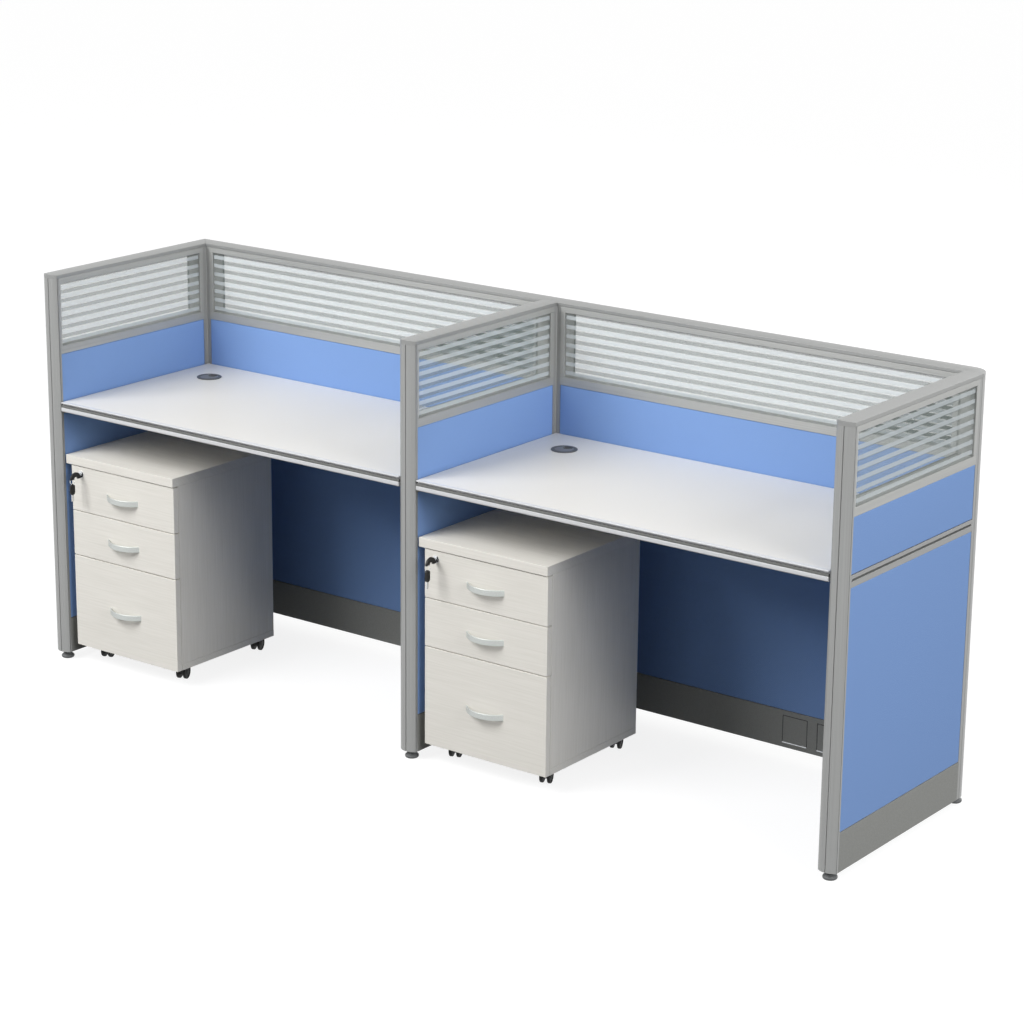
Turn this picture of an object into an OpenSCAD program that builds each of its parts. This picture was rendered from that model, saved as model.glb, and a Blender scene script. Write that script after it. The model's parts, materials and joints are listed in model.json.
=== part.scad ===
// Two-seat office cubicle: a back screen run of two bays, three side screens,
// two desktops and two mobile pedestals.
// +X runs along the row, -Y is the open side where the users sit, +Z is up.
// The origin is on the floor, under the middle of the whole part's box.

/* [Layout] */
// Clear width of one bay between two side screens
bay_clear_w = 1200; // [1000:10:1600]
// Thickness of every screen
screen_t = 50; // [44:1:60]
// Depth from the back face of the back screen to the front trims
overall_d = 650; // [560:5:800]
// Height of the desk surface
desk_h = 750; // [640:5:850]
// Height of the top caps' crown over the desk surface
screen_over_desk = 355; // [290:5:600]

/* [Screens] */
// Gap under the side screens, filled by the levelling feet
foot_h = 22; // [18:1:40]
// Height of a kick plate
kick_h = 100; // [80:5:130]
// Extra height of the back screens' kick plates over the side ones
back_kick_lift = 14; // [0:1:30]
// Thickness of a kick plate's sheet
kick_t = 3; // [1:0.5:5]
// Height of the bars that close the raceway behind the kick plates
raceway_bar_h = 12; // [6:1:20]
// Thickness of a fabric tile
tile_t = 12; // [8:1:16]
// Shadow gap round a fabric tile
tile_gap = 0.6; // [0.2:0.1:2]
// Height of the slotted rail between the lower and upper tiles
slot_rail_h = 30; // [20:1:50]
// Distance from the desk surface down to the slotted rail's lower edge
slot_rail_drop = 34; // [30:1:60]
// Height of the hook slot
slot_h = 5.5; // [4:0.5:10]
// Height of the strip above the hook slot
slot_strip_h = 9.5; // [6:0.5:20]
// Length of the plain end of each hook slot
slot_end = 6; // [3:1:20]
// Height of the glazing rail under the glass
glazing_rail_h = 22; // [15:1:40]
// Height of the glass opening
glass_h = 174; // [100:1:300]
// Thickness of a glass pane
glass_t = 5; // [3:0.5:8]
// Distance from the screen face in to the glass
glass_recess = 4; // [2:0.5:8]
// Height of the top rail under the cap
top_rail_h = 14; // [6:1:30]
// Width of the glazing stile beside a post
stile_w = 14; // [8:1:30]
// Width of the glazing stile beside a front trim
front_stile_w = 5; // [3:1:20]
// Width of the hidden frame upright inside each end of a screen
upright_w = 30; // [24:1:60]

/* [Posts and trims] */
// How far a post shows past the face of the next screen
post_arm = 12; // [4:1:30]
// How far that strip lies behind the screen face
post_recess = 1; // [0.5:0.5:4]
// Wall of the hollow post
post_wall = 2.5; // [1.5:0.5:5]
// Depth of a front end trim
trim_d = 18; // [12:1:30]
// How far a front trim's face bulges out in its middle
trim_crown = 10; // [4:0.5:14]
// Width of the grooves in the front trims
trim_groove_w = 2; // [1:0.5:4]
// Depth of the grooves in the front trims
trim_groove_d = 2.5; // [0.5:0.5:4]
// Height of a top cap
cap_h = 12; // [8:1:20]
// How far a top cap bulges up in its middle
cap_crown = 2; // [0.5:0.5:5]
// Height of the shadow groove under a top cap's edges
cap_shadow_h = 1.6; // [0.6:0.2:3]
// Depth of that groove
cap_shadow_d = 1.2; // [0.4:0.2:3]
// Gap where two lengths of cap meet
cap_joint = 0.3; // [0.2:0.1:2]
// Gap where two bars of a screen's frame or rails meet
bar_joint = 0.2; // [0.1:0.1:1]

/* [Socket knock-outs] */
// Side of a square socket knock-out
knockout_w = 75; // [50:1:86]
// Width of the groove round a knock-out
knockout_groove_w = 2.4; // [1:0.2:4]
// Depth of that groove
knockout_groove_d = 1; // [0.5:0.1:2]
// Distance from the bay's right face to the first knock-out
knockout_end = 288; // [10:1:400]
// Distance between the two knock-outs
knockout_gap = 28; // [10:1:100]

/* [Desks] */
// Thickness of a desktop
desk_t = 25; // [18:1:30]
// Gap between a desktop and the screens beside it
desk_side_gap = 3; // [2.6:0.1:8]
// Gap between a desktop and the back screen
desk_back_gap = 1; // [0.5:0.5:5]
// Distance of the desk edge behind the front trims' crown
desk_setback = 6; // [0:1:60]
// Depth of the front edge trim
edge_trim_d = 14; // [10:1:25]
// Height of the front edge trim
edge_trim_h = 27; // [25:1:40]
// Height of the edge trim's upper lip
edge_lip_h = 3.5; // [2:0.5:6]
// Height of the channel in the edge trim
edge_channel_h = 11.5; // [6:0.5:14]
// Depth of that channel
edge_channel_d = 8; // [4:1:12]
// Height of the soft insert in the channel
edge_insert_h = 6.5; // [3:0.5:9]
// Distance of the insert behind the trim's face
edge_insert_recess = 1.5; // [0.5:0.5:4]
// Radius of the edge trim's lower lip
edge_lip_r = 4; // [1:0.5:5]
// Thickness of the desk support angles
angle_t = 2.5; // [2:0.1:4]
// Width of an angle's flange under the desktop
angle_flange_w = 35; // [20:1:60]
// Distance of an angle's upright leg below the desk surface
angle_top_drop = 6; // [2:1:12]
// Length of a hook tab on an angle
hook_len = 30; // [15:1:60]
// Number of hook tabs and of screws on an angle
hook_count = 3; // [2:1:5]
// Shank radius of the screws that hold the desktops
screw_r = 2; // [1.5:0.1:3]
// Head radius of those screws
screw_head_r = 3.8; // [3:0.1:6]
// Head height of those screws
screw_head_h = 2.2; // [1:0.1:4]
// Length of those screws in the desktop
screw_len = 14; // [8:1:20]

/* [Cable grommets] */
// Distance of a grommet's middle from the bay's left face
grommet_x = 120; // [80:1:300]
// Distance of a grommet's middle from the back screen's face
grommet_y = 125; // [60:1:250]
// Outer radius of a grommet's flange
grommet_flange_r = 35; // [28:1:45]
// Height of the flange over the desktop
grommet_flange_h = 2.5; // [1:0.5:5]
// Radius of the hole in the desktop
grommet_hole_r = 30; // [24:1:36]
// Radius of the bore that takes the turning cap
grommet_bore_r = 25; // [20:1:30]
// Radius of the bore below the cap
grommet_ledge_r = 22; // [16:1:27]
// Height of the ledge under the cap
grommet_ledge_h = 3; // [2:0.5:6]
// Thickness of the turning cap
grommet_cap_t = 4; // [2:0.5:8]
// Radius of the cable opening in the cap
grommet_slot_r = 13.5; // [8:0.5:18]
// Distance of the cable opening from the cap's middle
grommet_slot_y = 16; // [8:1:20]

/* [Levelling feet] */
// Radius of a foot's pad
pad_r = 18; // [12:1:24]
// Height of a foot's rounded pad
pad_h = 10; // [8:0.5:11]
// Radius of the rounding of a pad's edge
pad_edge_r = 4.5; // [1:0.5:5.5]
// Radius of a foot's cone where it leaves the pad
cone_r = 15; // [10:1:17]
// Height of a foot's cone
cone_h = 6; // [3:1:7]
// Radius of the neck at the top of a foot
neck_r = 9; // [7:1:10]
// Radius of a foot's threaded stem
stem_r = 4; // [3:0.5:6]
// Length of a foot's stem above the neck
stem_len = 60; // [30:5:90]
// Running clearance round the stem
stem_clear = 0.1; // [0.05:0.05:0.1]
// Travel of a levelling foot
foot_travel = 20; // [10:1:30]

/* [Pedestals] */
// Width of a pedestal's carcass
ped_w = 384; // [360:2:460]
// Depth of a pedestal over its drawer fronts
ped_d = 395; // [360:5:560]
// Gap between a pedestal's top and the desktop over it
ped_desk_gap = 125; // [10:5:250]
// Height of the carcass over the floor, filled by the castors
ped_floor_gap = 50; // [48:1:70]
// Thickness of the pedestal's top board
ped_top_t = 25; // [16:1:30]
// Overhang of the top board on the left
ped_top_over_x = 18; // [0:1:30]
// Overhang of the top board at the front
ped_top_over_y = 2.5; // [0:0.5:20]
// Gap between a pedestal's top board and the screen
ped_side_gap = 4; // [2:1:100]
// Distance of the drawer fronts behind the front trims' crown
ped_setback = 19; // [0:1:80]
// Thickness of the carcass side boards
ped_side_t = 16; // [12:1:20]
// Thickness of the carcass bottom board
ped_bottom_t = 18; // [12:1:25]
// Thickness of the carcass back board
ped_back_t = 12; // [6:1:18]
// Joint between the boards of a carcass or a drawer
board_joint = 0.2; // [0.1:0.1:1]
// Thickness of a drawer front
front_t = 18; // [15:1:22]
// Gap behind the drawer fronts
front_back_gap = 1; // [0.5:0.5:3]
// Gap between the drawer fronts
front_gap = 2.5; // [1.5:0.5:5]
// Height of the two small drawer fronts
small_front_h = 127; // [100:1:160]
// Distance of a small box's upper edge below its front's upper edge
small_box_drop = 32; // [30:1:60]
// Distance of the file box's upper edge below its front's upper edge
file_box_drop = 43.5; // [10:0.5:100]
// Height of a small box's lower edge above its front's lower edge
small_box_lift = 15; // [10:1:30]
// Height of the file box's lower edge above its front's lower edge
file_box_lift = 30; // [26:1:50]
// Gap between a drawer box and the carcass's back board
box_back_gap = 25; // [5:1:60]
// Thickness of a drawer box's sides and back
box_t = 12; // [8:1:16]
// Thickness of a drawer box's bottom
box_bottom_t = 5; // [3:0.5:9]
// Height of the bottom above the box's lower edge
box_bottom_lift = 8; // [2:1:20]
// Width of a drawer runner beside a box
runner_w = 12.2; // [8:0.1:16]
// Height of a runner's upright part
runner_h = 32; // [20:1:50]
// Thickness of a runner's ledge under a box
runner_ledge_t = 2.5; // [1.5:0.5:5]
// Width of that ledge under a box
runner_ledge_w = 9; // [5:1:12]
// Gap between a drawer runner and the carcass's back board
runner_back_gap = 33; // [5:1:60]
// Running clearance of a drawer box
runner_clear = 0.3; // [0.2:0.1:1]

/* [Handles] */
// Distance between the ends of a bow handle
handle_w = 118; // [80:1:160]
// Distance that a handle stands out of its drawer front
handle_d = 26; // [18:1:40]
// Height of a handle's band
handle_band_h = 16; // [8:1:20]
// Thickness of a handle's band
handle_band_t = 3.5; // [2:0.5:6]
// Distance of a handle below the middle of its front
handle_drop = 5; // [0:1:20]

/* [Locks and keys] */
// Distance of a lock from the carcass's left side
lock_x = 36; // [20:1:60]
// Distance of a lock below the top of its drawer front
lock_z = 21; // [14:1:40]
// Radius of a lock's barrel
lock_r = 8; // [6:0.5:10]
// Radius of a lock's collar
lock_collar_r = 10; // [8:0.5:13]
// Thickness of the collar
lock_collar_t = 1.5; // [1:0.1:3]
// How far the barrel stands out behind the drawer front
lock_rear = 5; // [2:0.5:8]
// Length of the lock's cam from its axis
cam_len = 18; // [14:1:20]
// Width of the cam
cam_w = 9; // [6:0.5:10]
// Thickness of the cam and of the strike it locks behind
cam_t = 2; // [1.5:0.5:3]
// Height of the strike under the pedestal's top board
strike_h = 11; // [8:0.5:13]
// Width of the strike
strike_w = 24; // [14:1:40]
// Radius of the turning plug
plug_r = 5; // [4.5:0.5:6]
// Running clearance round the plug
plug_clear = 0.1; // [0.05:0.05:0.1]
// Width of a key blade
blade_w = 7; // [4:0.5:9]
// Thickness of a key blade
blade_t = 2; // [1:0.5:3]
// Distance of the key bow's middle in front of the drawer front
bow_y = 22; // [18:1:40]
// Distance of the key bow's middle below the lock's axis
bow_drop = 9; // [6:1:16]
// Outer radius of the arched key bow
bow_r = 19; // [14:1:24]
// Inner radius of the arched key bow
bow_inner_r = 7; // [4:1:10]
// Thickness of a key bow
bow_t = 5; // [3:0.5:8]
// Radius of the ring's hole in a key bow
ring_hole_r = 2.2; // [2:0.1:3]
// Wall of a key bow beside the ring's hole
ring_wall = 0.8; // [0.6:0.1:2]
// Radius of the key ring
ring_r = 8; // [7:0.5:12]
// Radius of the key ring's wire
ring_wire_r = 0.9; // [0.6:0.1:1.2]
// Width of the spare key's bow
spare_w = 16; // [12:1:22]
// Length of the spare key's bow
spare_len = 31; // [25:1:45]
// Length of the spare key's blade
spare_blade_len = 18; // [10:1:35]

/* [Castors] */
// Radius of a castor wheel
wheel_r = 20; // [15:1:21]
// Width of one castor wheel
wheel_w = 8; // [6:1:12]
// Radius of the rounding of a wheel's edge
wheel_edge_r = 2; // [1:0.5:3]
// Thickness of the fork's web between the two wheels
web_t = 11.4; // [6:0.2:14]
// Gap between the web and each wheel
wheel_gap = 0.4; // [0.2:0.1:1]
// Distance of the axle behind the swivel axis
castor_trail = 19; // [10:1:25]
// Direction of the wheels from the swivel axis, counted from +X
castor_angle = 110; // [0:5:360]
// Radius of the castor's axle
axle_r = 3; // [2:0.5:4]
// Running clearance of the axle and of the castor's stem
castor_clear = 0.05; // [0.02:0.01:0.1]
// Radius of the castor's stem
castor_stem_r = 4; // [3:0.5:6]
// Length of the stem in the carcass's bottom board
castor_stem_len = 14; // [8:1:17]
// Radius of the castor's swivel boss
boss_r = 9; // [7:1:12]
// Gap between the wheels and the castor's hood
hood_gap = 0.8; // [0.5:0.1:1.5]
// Thickness of the castor's hood
hood_t = 2.2; // [1.5:0.1:3]
// Thickness of the fork's crown under the carcass
crown_t = 6; // [4:0.5:8]
// Distance of the swivel axes from the carcass's sides
castor_inset_x = 47; // [40:1:80]
// Distance of the front swivel axes from the drawer fronts
castor_front_inset = 60; // [45:1:100]
// Distance of the rear swivel axes from the carcass's back
castor_back_inset = 28; // [20:1:80]

/* [Hidden] */
$fn = 48;

// Overrun of the cuts past the faces they go through
cut = 1;
// Clearance of the parts that only lie beside each other
fit = 0.3;

// The keys stand in front of the trims, so they set the front of the part's box
ring_hole_y = bow_y + (bow_r + bow_inner_r) / 2;
key_reach = max(bow_y + bow_r, ring_hole_y + spare_w / 2);
key_proud = max(0, key_reach - ped_setback);
front_y = (key_proud - overall_d) / 2;
back_face_y = front_y + overall_d;
half_t = screen_t / 2;
back_y = back_face_y - half_t;
pitch = bay_clear_w + screen_t;
screen_xs = [-pitch, 0, pitch];
bay_xs = [-pitch + half_t, half_t];

// Heights, from the caps down and from the desk
overall_h = desk_h + screen_over_desk;
cap_z = overall_h - cap_h;
top_rail_z = cap_z - top_rail_h;
glass_z = top_rail_z - glass_h;
glazing_rail_z = glass_z - glazing_rail_h;
slot_rail_z = desk_h - slot_rail_drop;
slot_z = slot_rail_z + slot_rail_h - slot_strip_h - slot_h;
core_half = half_t - tile_t;
post_reach = half_t + post_arm;

// One row for each screen: start x, start y, turn, length, kick plate z, first stile, foot bore
side_start_y = front_y + trim_d;
side_len = back_y - post_reach - side_start_y;
back_len = pitch - 2 * post_reach;
side_kick_z = foot_h;
back_kick_z = foot_h + back_kick_lift;
screens = concat(
    [for (x = screen_xs) [x, side_start_y, 90, side_len, side_kick_z, front_stile_w, true]],
    [for (x = [-pitch, 0]) [x + post_reach, back_y, 0, back_len, back_kick_z, stile_w, false]]);
foot_xs = screen_xs;
foot_front_y = front_y + half_t;
foot_in_screen = foot_front_y - side_start_y;

// Desks
desk_x0s = [for (x = bay_xs) x + desk_side_gap];
desk_w = bay_clear_w - 2 * desk_side_gap;
desk_front_y = front_y + desk_setback;
board_front_y = desk_front_y + edge_trim_d;
desk_back_y = back_face_y - screen_t - desk_back_gap;
desk_bottom_z = desk_h - desk_t;
angle_len = desk_back_y - board_front_y;
hook_pitch = angle_len / hook_count;

// Pedestals
ped_x0s = [for (x = bay_xs) x + ped_side_gap + ped_top_over_x];
ped_front_y = front_y + ped_setback;
ped_back_y = ped_front_y + ped_d;
carcass_front_y = ped_front_y + front_t + front_back_gap;
back_board_y = ped_back_y - ped_back_t;
ped_h = desk_h - desk_t - ped_desk_gap;
carcass_top_z = ped_h - ped_top_t;
file_front_h = carcass_top_z - ped_floor_gap - 2 * small_front_h - 3 * front_gap;
front_zs = [
    ped_floor_gap,
    ped_floor_gap + file_front_h + front_gap,
    ped_floor_gap + file_front_h + small_front_h + 2 * front_gap];
front_hs = [file_front_h, small_front_h, small_front_h];
small_box_h = small_front_h - small_box_lift - small_box_drop;
box_zs = [front_zs[0] + file_box_lift, front_zs[1] + small_box_lift, front_zs[2] + small_box_lift];
box_hs = [file_front_h - file_box_lift - file_box_drop, small_box_h, small_box_h];
box_x0 = ped_side_t + runner_w + runner_clear;
box_x1 = ped_w - box_x0;
box_front_y = ped_front_y + front_t;
box_back_y = back_board_y - box_back_gap;
runner_y0 = carcass_front_y + front_back_gap;
runner_y1 = back_board_y - runner_back_gap;
lock_axis_z = front_zs[2] + small_front_h - lock_z;
barrel_depth = front_t + lock_rear;
wheels_span = web_t + 2 * wheel_gap + 2 * wheel_w;
axle_len = wheels_span - 2 * (wheel_w + castor_clear);
castor_places = [
    [castor_inset_x, castor_front_inset], [ped_w - castor_inset_x, castor_front_inset],
    [castor_inset_x, ped_d - castor_back_inset], [ped_w - castor_inset_x, ped_d - castor_back_inset]];

// Heights of the two ring holes and of the ring between them, counted from the lock's axis
ring_hole_z = ring_hole_r + ring_wall - bow_drop;
ring_drop = ring_r + ring_hole_r - ring_wire_r - 2 * fit;
ring_z = ring_hole_z - ring_drop;
spare_hole_z = ring_z - ring_drop;
spare_top_z = spare_hole_z + ring_hole_r + ring_wall;

// A box between two opposite corners
module block(low, high) translate(low) cube(high - low);

// Puts a screen's own frame (length along X, faces at plus and minus Y) in the part
module place(s) translate([s[0], s[1], 0]) rotate([0, 0, s[2]]) children();

module on_both_faces() for (m = [0, 1]) mirror([0, m, 0]) children();

// Screens

// Radius of a face as wide as a screen that bulges out in its middle
function crown_r(bulge) = (half_t * half_t + bulge * bulge) / (2 * bulge);

// Outline of a bar as wide as a screen, with its bulging face at y = 0 and a flat back
module crowned_outline(bulge, depth) intersection() {
    translate([-half_t, 0]) square([screen_t, depth]);
    union() {
        translate([0, crown_r(bulge)]) circle(crown_r(bulge), $fn = 96);
        translate([-half_t, crown_r(bulge)]) square([screen_t, depth]);
    }
}

module front_trim_profile() difference() {
    crowned_outline(trim_crown, trim_d);
    translate([-trim_groove_w / 2, -cut]) square([trim_groove_w, trim_groove_d + cut]);
    for (x = [-half_t - cut, half_t - trim_groove_d])
        translate([x, trim_crown]) square([trim_groove_d + cut, trim_groove_w]);
}

module front_end_trims() color([0.72, 0.73, 0.73])
    for (x = screen_xs) translate([x, front_y, foot_h])
        linear_extrude(cap_z - foot_h) front_trim_profile();

// A post's core, drawn in by an inset: square, or with a quarter round outer corner
module post_core(rounded, inset) translate([inset - half_t, inset - half_t])
    if (rounded) intersection() {
        translate([-inset, -inset]) circle(screen_t - inset, $fn = 96);
        square(screen_t);
    }
    else square(screen_t - 2 * inset);

// A post's outline, with recessed strips that show beside the screens it joins
module post_profile(to_left, to_right, rounded) {
    strip = screen_t - 2 * post_recess;
    post_core(rounded, 0);
    translate([-strip / 2, -post_reach]) square([strip, post_arm]);
    if (to_left) translate([-post_reach, -strip / 2]) square([post_arm, strip]);
    if (to_right) translate([half_t, -strip / 2]) square([post_arm, strip]);
}

// The posts are hollow above a plug that takes the levelling foot's stem
module corner_posts() color([0.62, 0.63, 0.64])
    for (i = [0:2]) translate([screen_xs[i], back_y, foot_h]) difference() {
        linear_extrude(cap_z - foot_h) post_profile(i > 0, i < 2, i == 2);
        translate([0, 0, -cut]) cylinder(h = stem_len + foot_travel + cut, r = stem_r + stem_clear);
        translate([0, 0, stem_len + foot_travel + post_wall]) linear_extrude(cap_z)
            post_core(i == 2, post_wall);
    }

// Section of a top cap: a slightly bulging top, upright edges and a shadow groove under each
module cap_profile() difference() {
    translate([0, cap_h]) mirror([0, 1]) crowned_outline(cap_crown, cap_h);
    for (x = [-half_t - cut, half_t - cap_shadow_d])
        translate([x, -cut]) square([cap_shadow_d + cut, cap_shadow_h + cut]);
}

// A cap that runs from its origin along +X
module cap_run(len) rotate([90, 0, 90]) linear_extrude(len) cap_profile();

// A cap that runs from the face of a front trim along +Y
module side_cap(len) intersection() {
    rotate([0, 0, 90]) cap_run(len);
    translate([0, 0, -cut]) linear_extrude(cap_h + 2 * cut) crowned_outline(trim_crown, len);
}

// Cuts its child off at the left rear corner's mitre, keeping the side cap or the back cap
module mitre(keep_side) difference() {
    children();
    x = keep_side ? -cap_joint / 2 : cap_joint / 2 - 2 * screen_t;
    translate([-pitch, back_y, 0]) rotate([0, 0, 45])
        block([x, -2 * screen_t, -cut], [x + 2 * screen_t, 2 * screen_t, cap_h + cut]);
}

module top_caps() color([0.76, 0.77, 0.77]) translate([0, 0, cap_z]) {
    inner_y = back_y - half_t;
    mitre(true) translate([-pitch, front_y, 0]) side_cap(overall_d);
    for (x = [0, pitch]) translate([x, front_y, 0]) side_cap(inner_y - cap_joint - front_y);
    mitre(false) translate([-pitch - half_t, back_y, 0]) cap_run(pitch + half_t - cap_joint / 2);
    translate([cap_joint / 2, back_y, 0]) cap_run(pitch - half_t - 3 / 2 * cap_joint);
    translate([pitch - half_t, inner_y, 0])
        rotate_extrude(angle = 90, $fn = 96) translate([half_t, 0]) cap_profile();
}

module screen_frame(len, kick_z, first_stile, foot_bore) {
    kick_top = kick_z + kick_h;
    cover_half = half_t - kick_t;
    inner_u0 = upright_w + bar_joint;
    inner_u1 = len - upright_w - bar_joint;
    // glazing rail, top rail and stiles
    block([0, -half_t, glazing_rail_z], [len, half_t, glass_z]);
    block([0, -half_t, top_rail_z], [len, half_t, cap_z]);
    for (u = [[0, first_stile], [len - stile_w, len]])
        block([u[0], -half_t, glass_z + bar_joint], [u[1], half_t, top_rail_z - bar_joint]);
    // uprights and the rail behind the hook slots
    for (u = [0, len - upright_w])
        block([u, -core_half, kick_top + bar_joint], [u + upright_w, core_half, glazing_rail_z - bar_joint]);
    block([inner_u0, -core_half, slot_rail_z], [inner_u1, core_half, slot_rail_z + slot_rail_h]);
    // raceway bars and end blocks behind the kick plates
    for (z = [kick_z, kick_top - raceway_bar_h])
        block([inner_u0, -cover_half, z], [inner_u1, cover_half, z + raceway_bar_h]);
    for (u = [0, len - upright_w]) difference() {
        block([u, -cover_half, kick_z], [u + upright_w, cover_half, kick_top]);
        if (foot_bore && u == 0) translate([foot_in_screen, 0, kick_z - cut])
            cylinder(h = stem_len + foot_travel + cut, r = stem_r + stem_clear);
    }
}

module screen_frames() color([0.68, 0.69, 0.7])
    for (s = screens) place(s) screen_frame(s[3], s[4], s[5], s[6]);

module glass_panes() color([0.86, 0.92, 0.9, 0.5])
    for (s = screens) place(s) on_both_faces()
        block([s[5], half_t - glass_recess - glass_t, glass_z],
              [s[3] - stile_w, half_t - glass_recess, top_rail_z]);

module fabric_tiles() color([0.5, 0.63, 0.87])
    for (s = screens) place(s) on_both_faces() {
        block([tile_gap, core_half, s[4] + kick_h + tile_gap],
              [s[3] - tile_gap, half_t, slot_rail_z - tile_gap]);
        block([tile_gap, core_half, slot_rail_z + slot_rail_h + tile_gap],
              [s[3] - tile_gap, half_t, glazing_rail_z - tile_gap]);
    }

// Each rail is a lower and an upper strip, with a plain stop at both ends of the slot between them
module slot_rails() color([0.75, 0.76, 0.76])
    for (s = screens) place(s) on_both_faces() {
        block([0, core_half, slot_rail_z], [s[3], half_t, slot_z]);
        block([0, core_half, slot_z + slot_h], [s[3], half_t, slot_rail_z + slot_rail_h]);
        for (u = [0, s[3] - slot_end])
            block([u, core_half, slot_z + bar_joint],
                  [u + slot_end, half_t - post_recess, slot_z + slot_h - bar_joint]);
    }

module knockout_groove(x, z) difference() {
    block([x, half_t - knockout_groove_d, z], [x + knockout_w, half_t + cut, z + knockout_w]);
    block([x + knockout_groove_w, 0, z + knockout_groove_w],
          [x + knockout_w - knockout_groove_w, half_t + 2 * cut, z + knockout_w - knockout_groove_w]);
}

// The plates on the desks' side of the back screens carry two socket knock-outs each
module kick_plates() color([0.53, 0.53, 0.52])
    for (s = screens) place(s) for (m = [0, 1]) mirror([0, m, 0]) difference() {
        block([0, half_t - kick_t, s[4]], [s[3], half_t, s[4] + kick_h]);
        if (!s[6] && m == 1) for (i = [0, 1])
            knockout_groove(s[3] + post_arm - knockout_end - knockout_w - i * (knockout_w + knockout_gap),
                            s[4] + (kick_h - knockout_w) / 2);
    }

// Desks

function screw_ys() = [for (i = [0:hook_count - 1]) board_front_y + (i + 1 / 2) * hook_pitch + hook_len];
function screw_offset() = angle_flange_w / 2;

module desktops() color([0.93, 0.93, 0.94])
    for (x0 = desk_x0s) difference() {
        block([x0, board_front_y, desk_bottom_z], [x0 + desk_w, desk_back_y, desk_h]);
        translate([x0 - desk_side_gap + grommet_x, desk_back_y + desk_back_gap - grommet_y, desk_bottom_z - cut])
            cylinder(h = desk_t + 2 * cut, r = grommet_hole_r);
        for (x = [screw_offset() - desk_side_gap, desk_w + desk_side_gap - screw_offset()], y = screw_ys())
            translate([x0 + x, y, desk_bottom_z - cut])
                cylinder(h = screw_len + cut + fit, r = screw_r + stem_clear, $fn = 24);
    }

// Section of the front edge: an upper lip, a channel and a rounded lower lip
module edge_trim_profile() difference() {
    union() {
        translate([edge_lip_r, 0]) square([edge_trim_d - edge_lip_r, edge_trim_h]);
        translate([0, edge_lip_r]) square([edge_trim_d, edge_trim_h - edge_lip_r]);
        translate([edge_lip_r, edge_lip_r]) circle(edge_lip_r);
    }
    translate([-cut, edge_trim_h - edge_lip_h - edge_channel_h])
        square([edge_channel_d + cut, edge_channel_h]);
}

module desk_edge_trims() color([0.9, 0.9, 0.92])
    for (x0 = desk_x0s) translate([x0, desk_front_y, desk_h - edge_trim_h])
        rotate([90, 0, 90]) linear_extrude(desk_w) edge_trim_profile();

module desk_edge_inserts() color([0.5, 0.5, 0.49])
    for (x0 = desk_x0s)
        block([x0, desk_front_y + edge_insert_recess, desk_h - edge_lip_h - edge_channel_h],
              [x0 + desk_w, desk_front_y + edge_channel_d,
               desk_h - edge_lip_h - edge_channel_h + edge_insert_h]);

// An angle on the screen at a bay's left side, counted from that screen's face
module support_angle() difference() {
    union() {
        block([0, board_front_y, desk_bottom_z - angle_t], [angle_t, desk_back_y, desk_h - angle_top_drop]);
        block([0, board_front_y, desk_bottom_z - angle_t], [angle_flange_w, desk_back_y, desk_bottom_z]);
        for (i = [0:hook_count - 1]) translate([0, board_front_y + (i + 1 / 2) * hook_pitch, 0])
            block([fit - tile_t, -hook_len / 2, slot_z + fit], [angle_t, hook_len / 2, slot_z + slot_h - fit]);
    }
    for (y = screw_ys()) translate([screw_offset(), y, desk_bottom_z - angle_t - cut])
        cylinder(h = angle_t + 2 * cut, r = screw_r + stem_clear, $fn = 24);
}

module in_each_bay_side() for (x = bay_xs) translate([x, 0, 0]) {
    children();
    translate([bay_clear_w, 0, 0]) mirror([1, 0, 0]) children();
}

module desk_support_angles() color([0.12, 0.12, 0.13]) in_each_bay_side() support_angle();

module desk_screws() color([0.7, 0.7, 0.72]) in_each_bay_side()
    for (y = screw_ys()) translate([screw_offset(), y, desk_bottom_z - angle_t - screw_head_h]) {
        cylinder(h = screw_head_h, r = screw_head_r, $fn = 24);
        cylinder(h = screw_head_h + angle_t + screw_len, r = screw_r, $fn = 24);
    }

module at_grommet(bay) translate([bay_xs[bay] + grommet_x, desk_back_y + desk_back_gap - grommet_y, desk_h])
    children();

module grommet_rings() color([0.35, 0.36, 0.37])
    for (bay = [0, 1]) at_grommet(bay) difference() {
        union() {
            cylinder(h = grommet_flange_h, r = grommet_flange_r, $fn = 96);
            translate([0, 0, -desk_t]) cylinder(h = desk_t, r = grommet_hole_r - fit, $fn = 96);
        }
        translate([0, 0, grommet_flange_h - grommet_cap_t])
            cylinder(h = grommet_cap_t + cut, r = grommet_bore_r, $fn = 96);
        translate([0, 0, -desk_t - cut]) cylinder(h = desk_t + 2 * cut, r = grommet_ledge_r, $fn = 96);
        translate([0, 0, -desk_t - cut])
            cylinder(h = desk_t + cut + grommet_flange_h - grommet_cap_t - grommet_ledge_h,
                     r = grommet_bore_r, $fn = 96);
    }

module grommet_cap(bay) color([0.42, 0.43, 0.44]) at_grommet(bay)
    translate([0, 0, grommet_flange_h - grommet_cap_t]) difference() {
        cylinder(h = grommet_cap_t - fit, r = grommet_bore_r - fit, $fn = 96);
        translate([0, grommet_slot_y, -cut]) cylinder(h = grommet_cap_t + 2 * cut, r = grommet_slot_r);
    }

// Levelling feet

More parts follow.
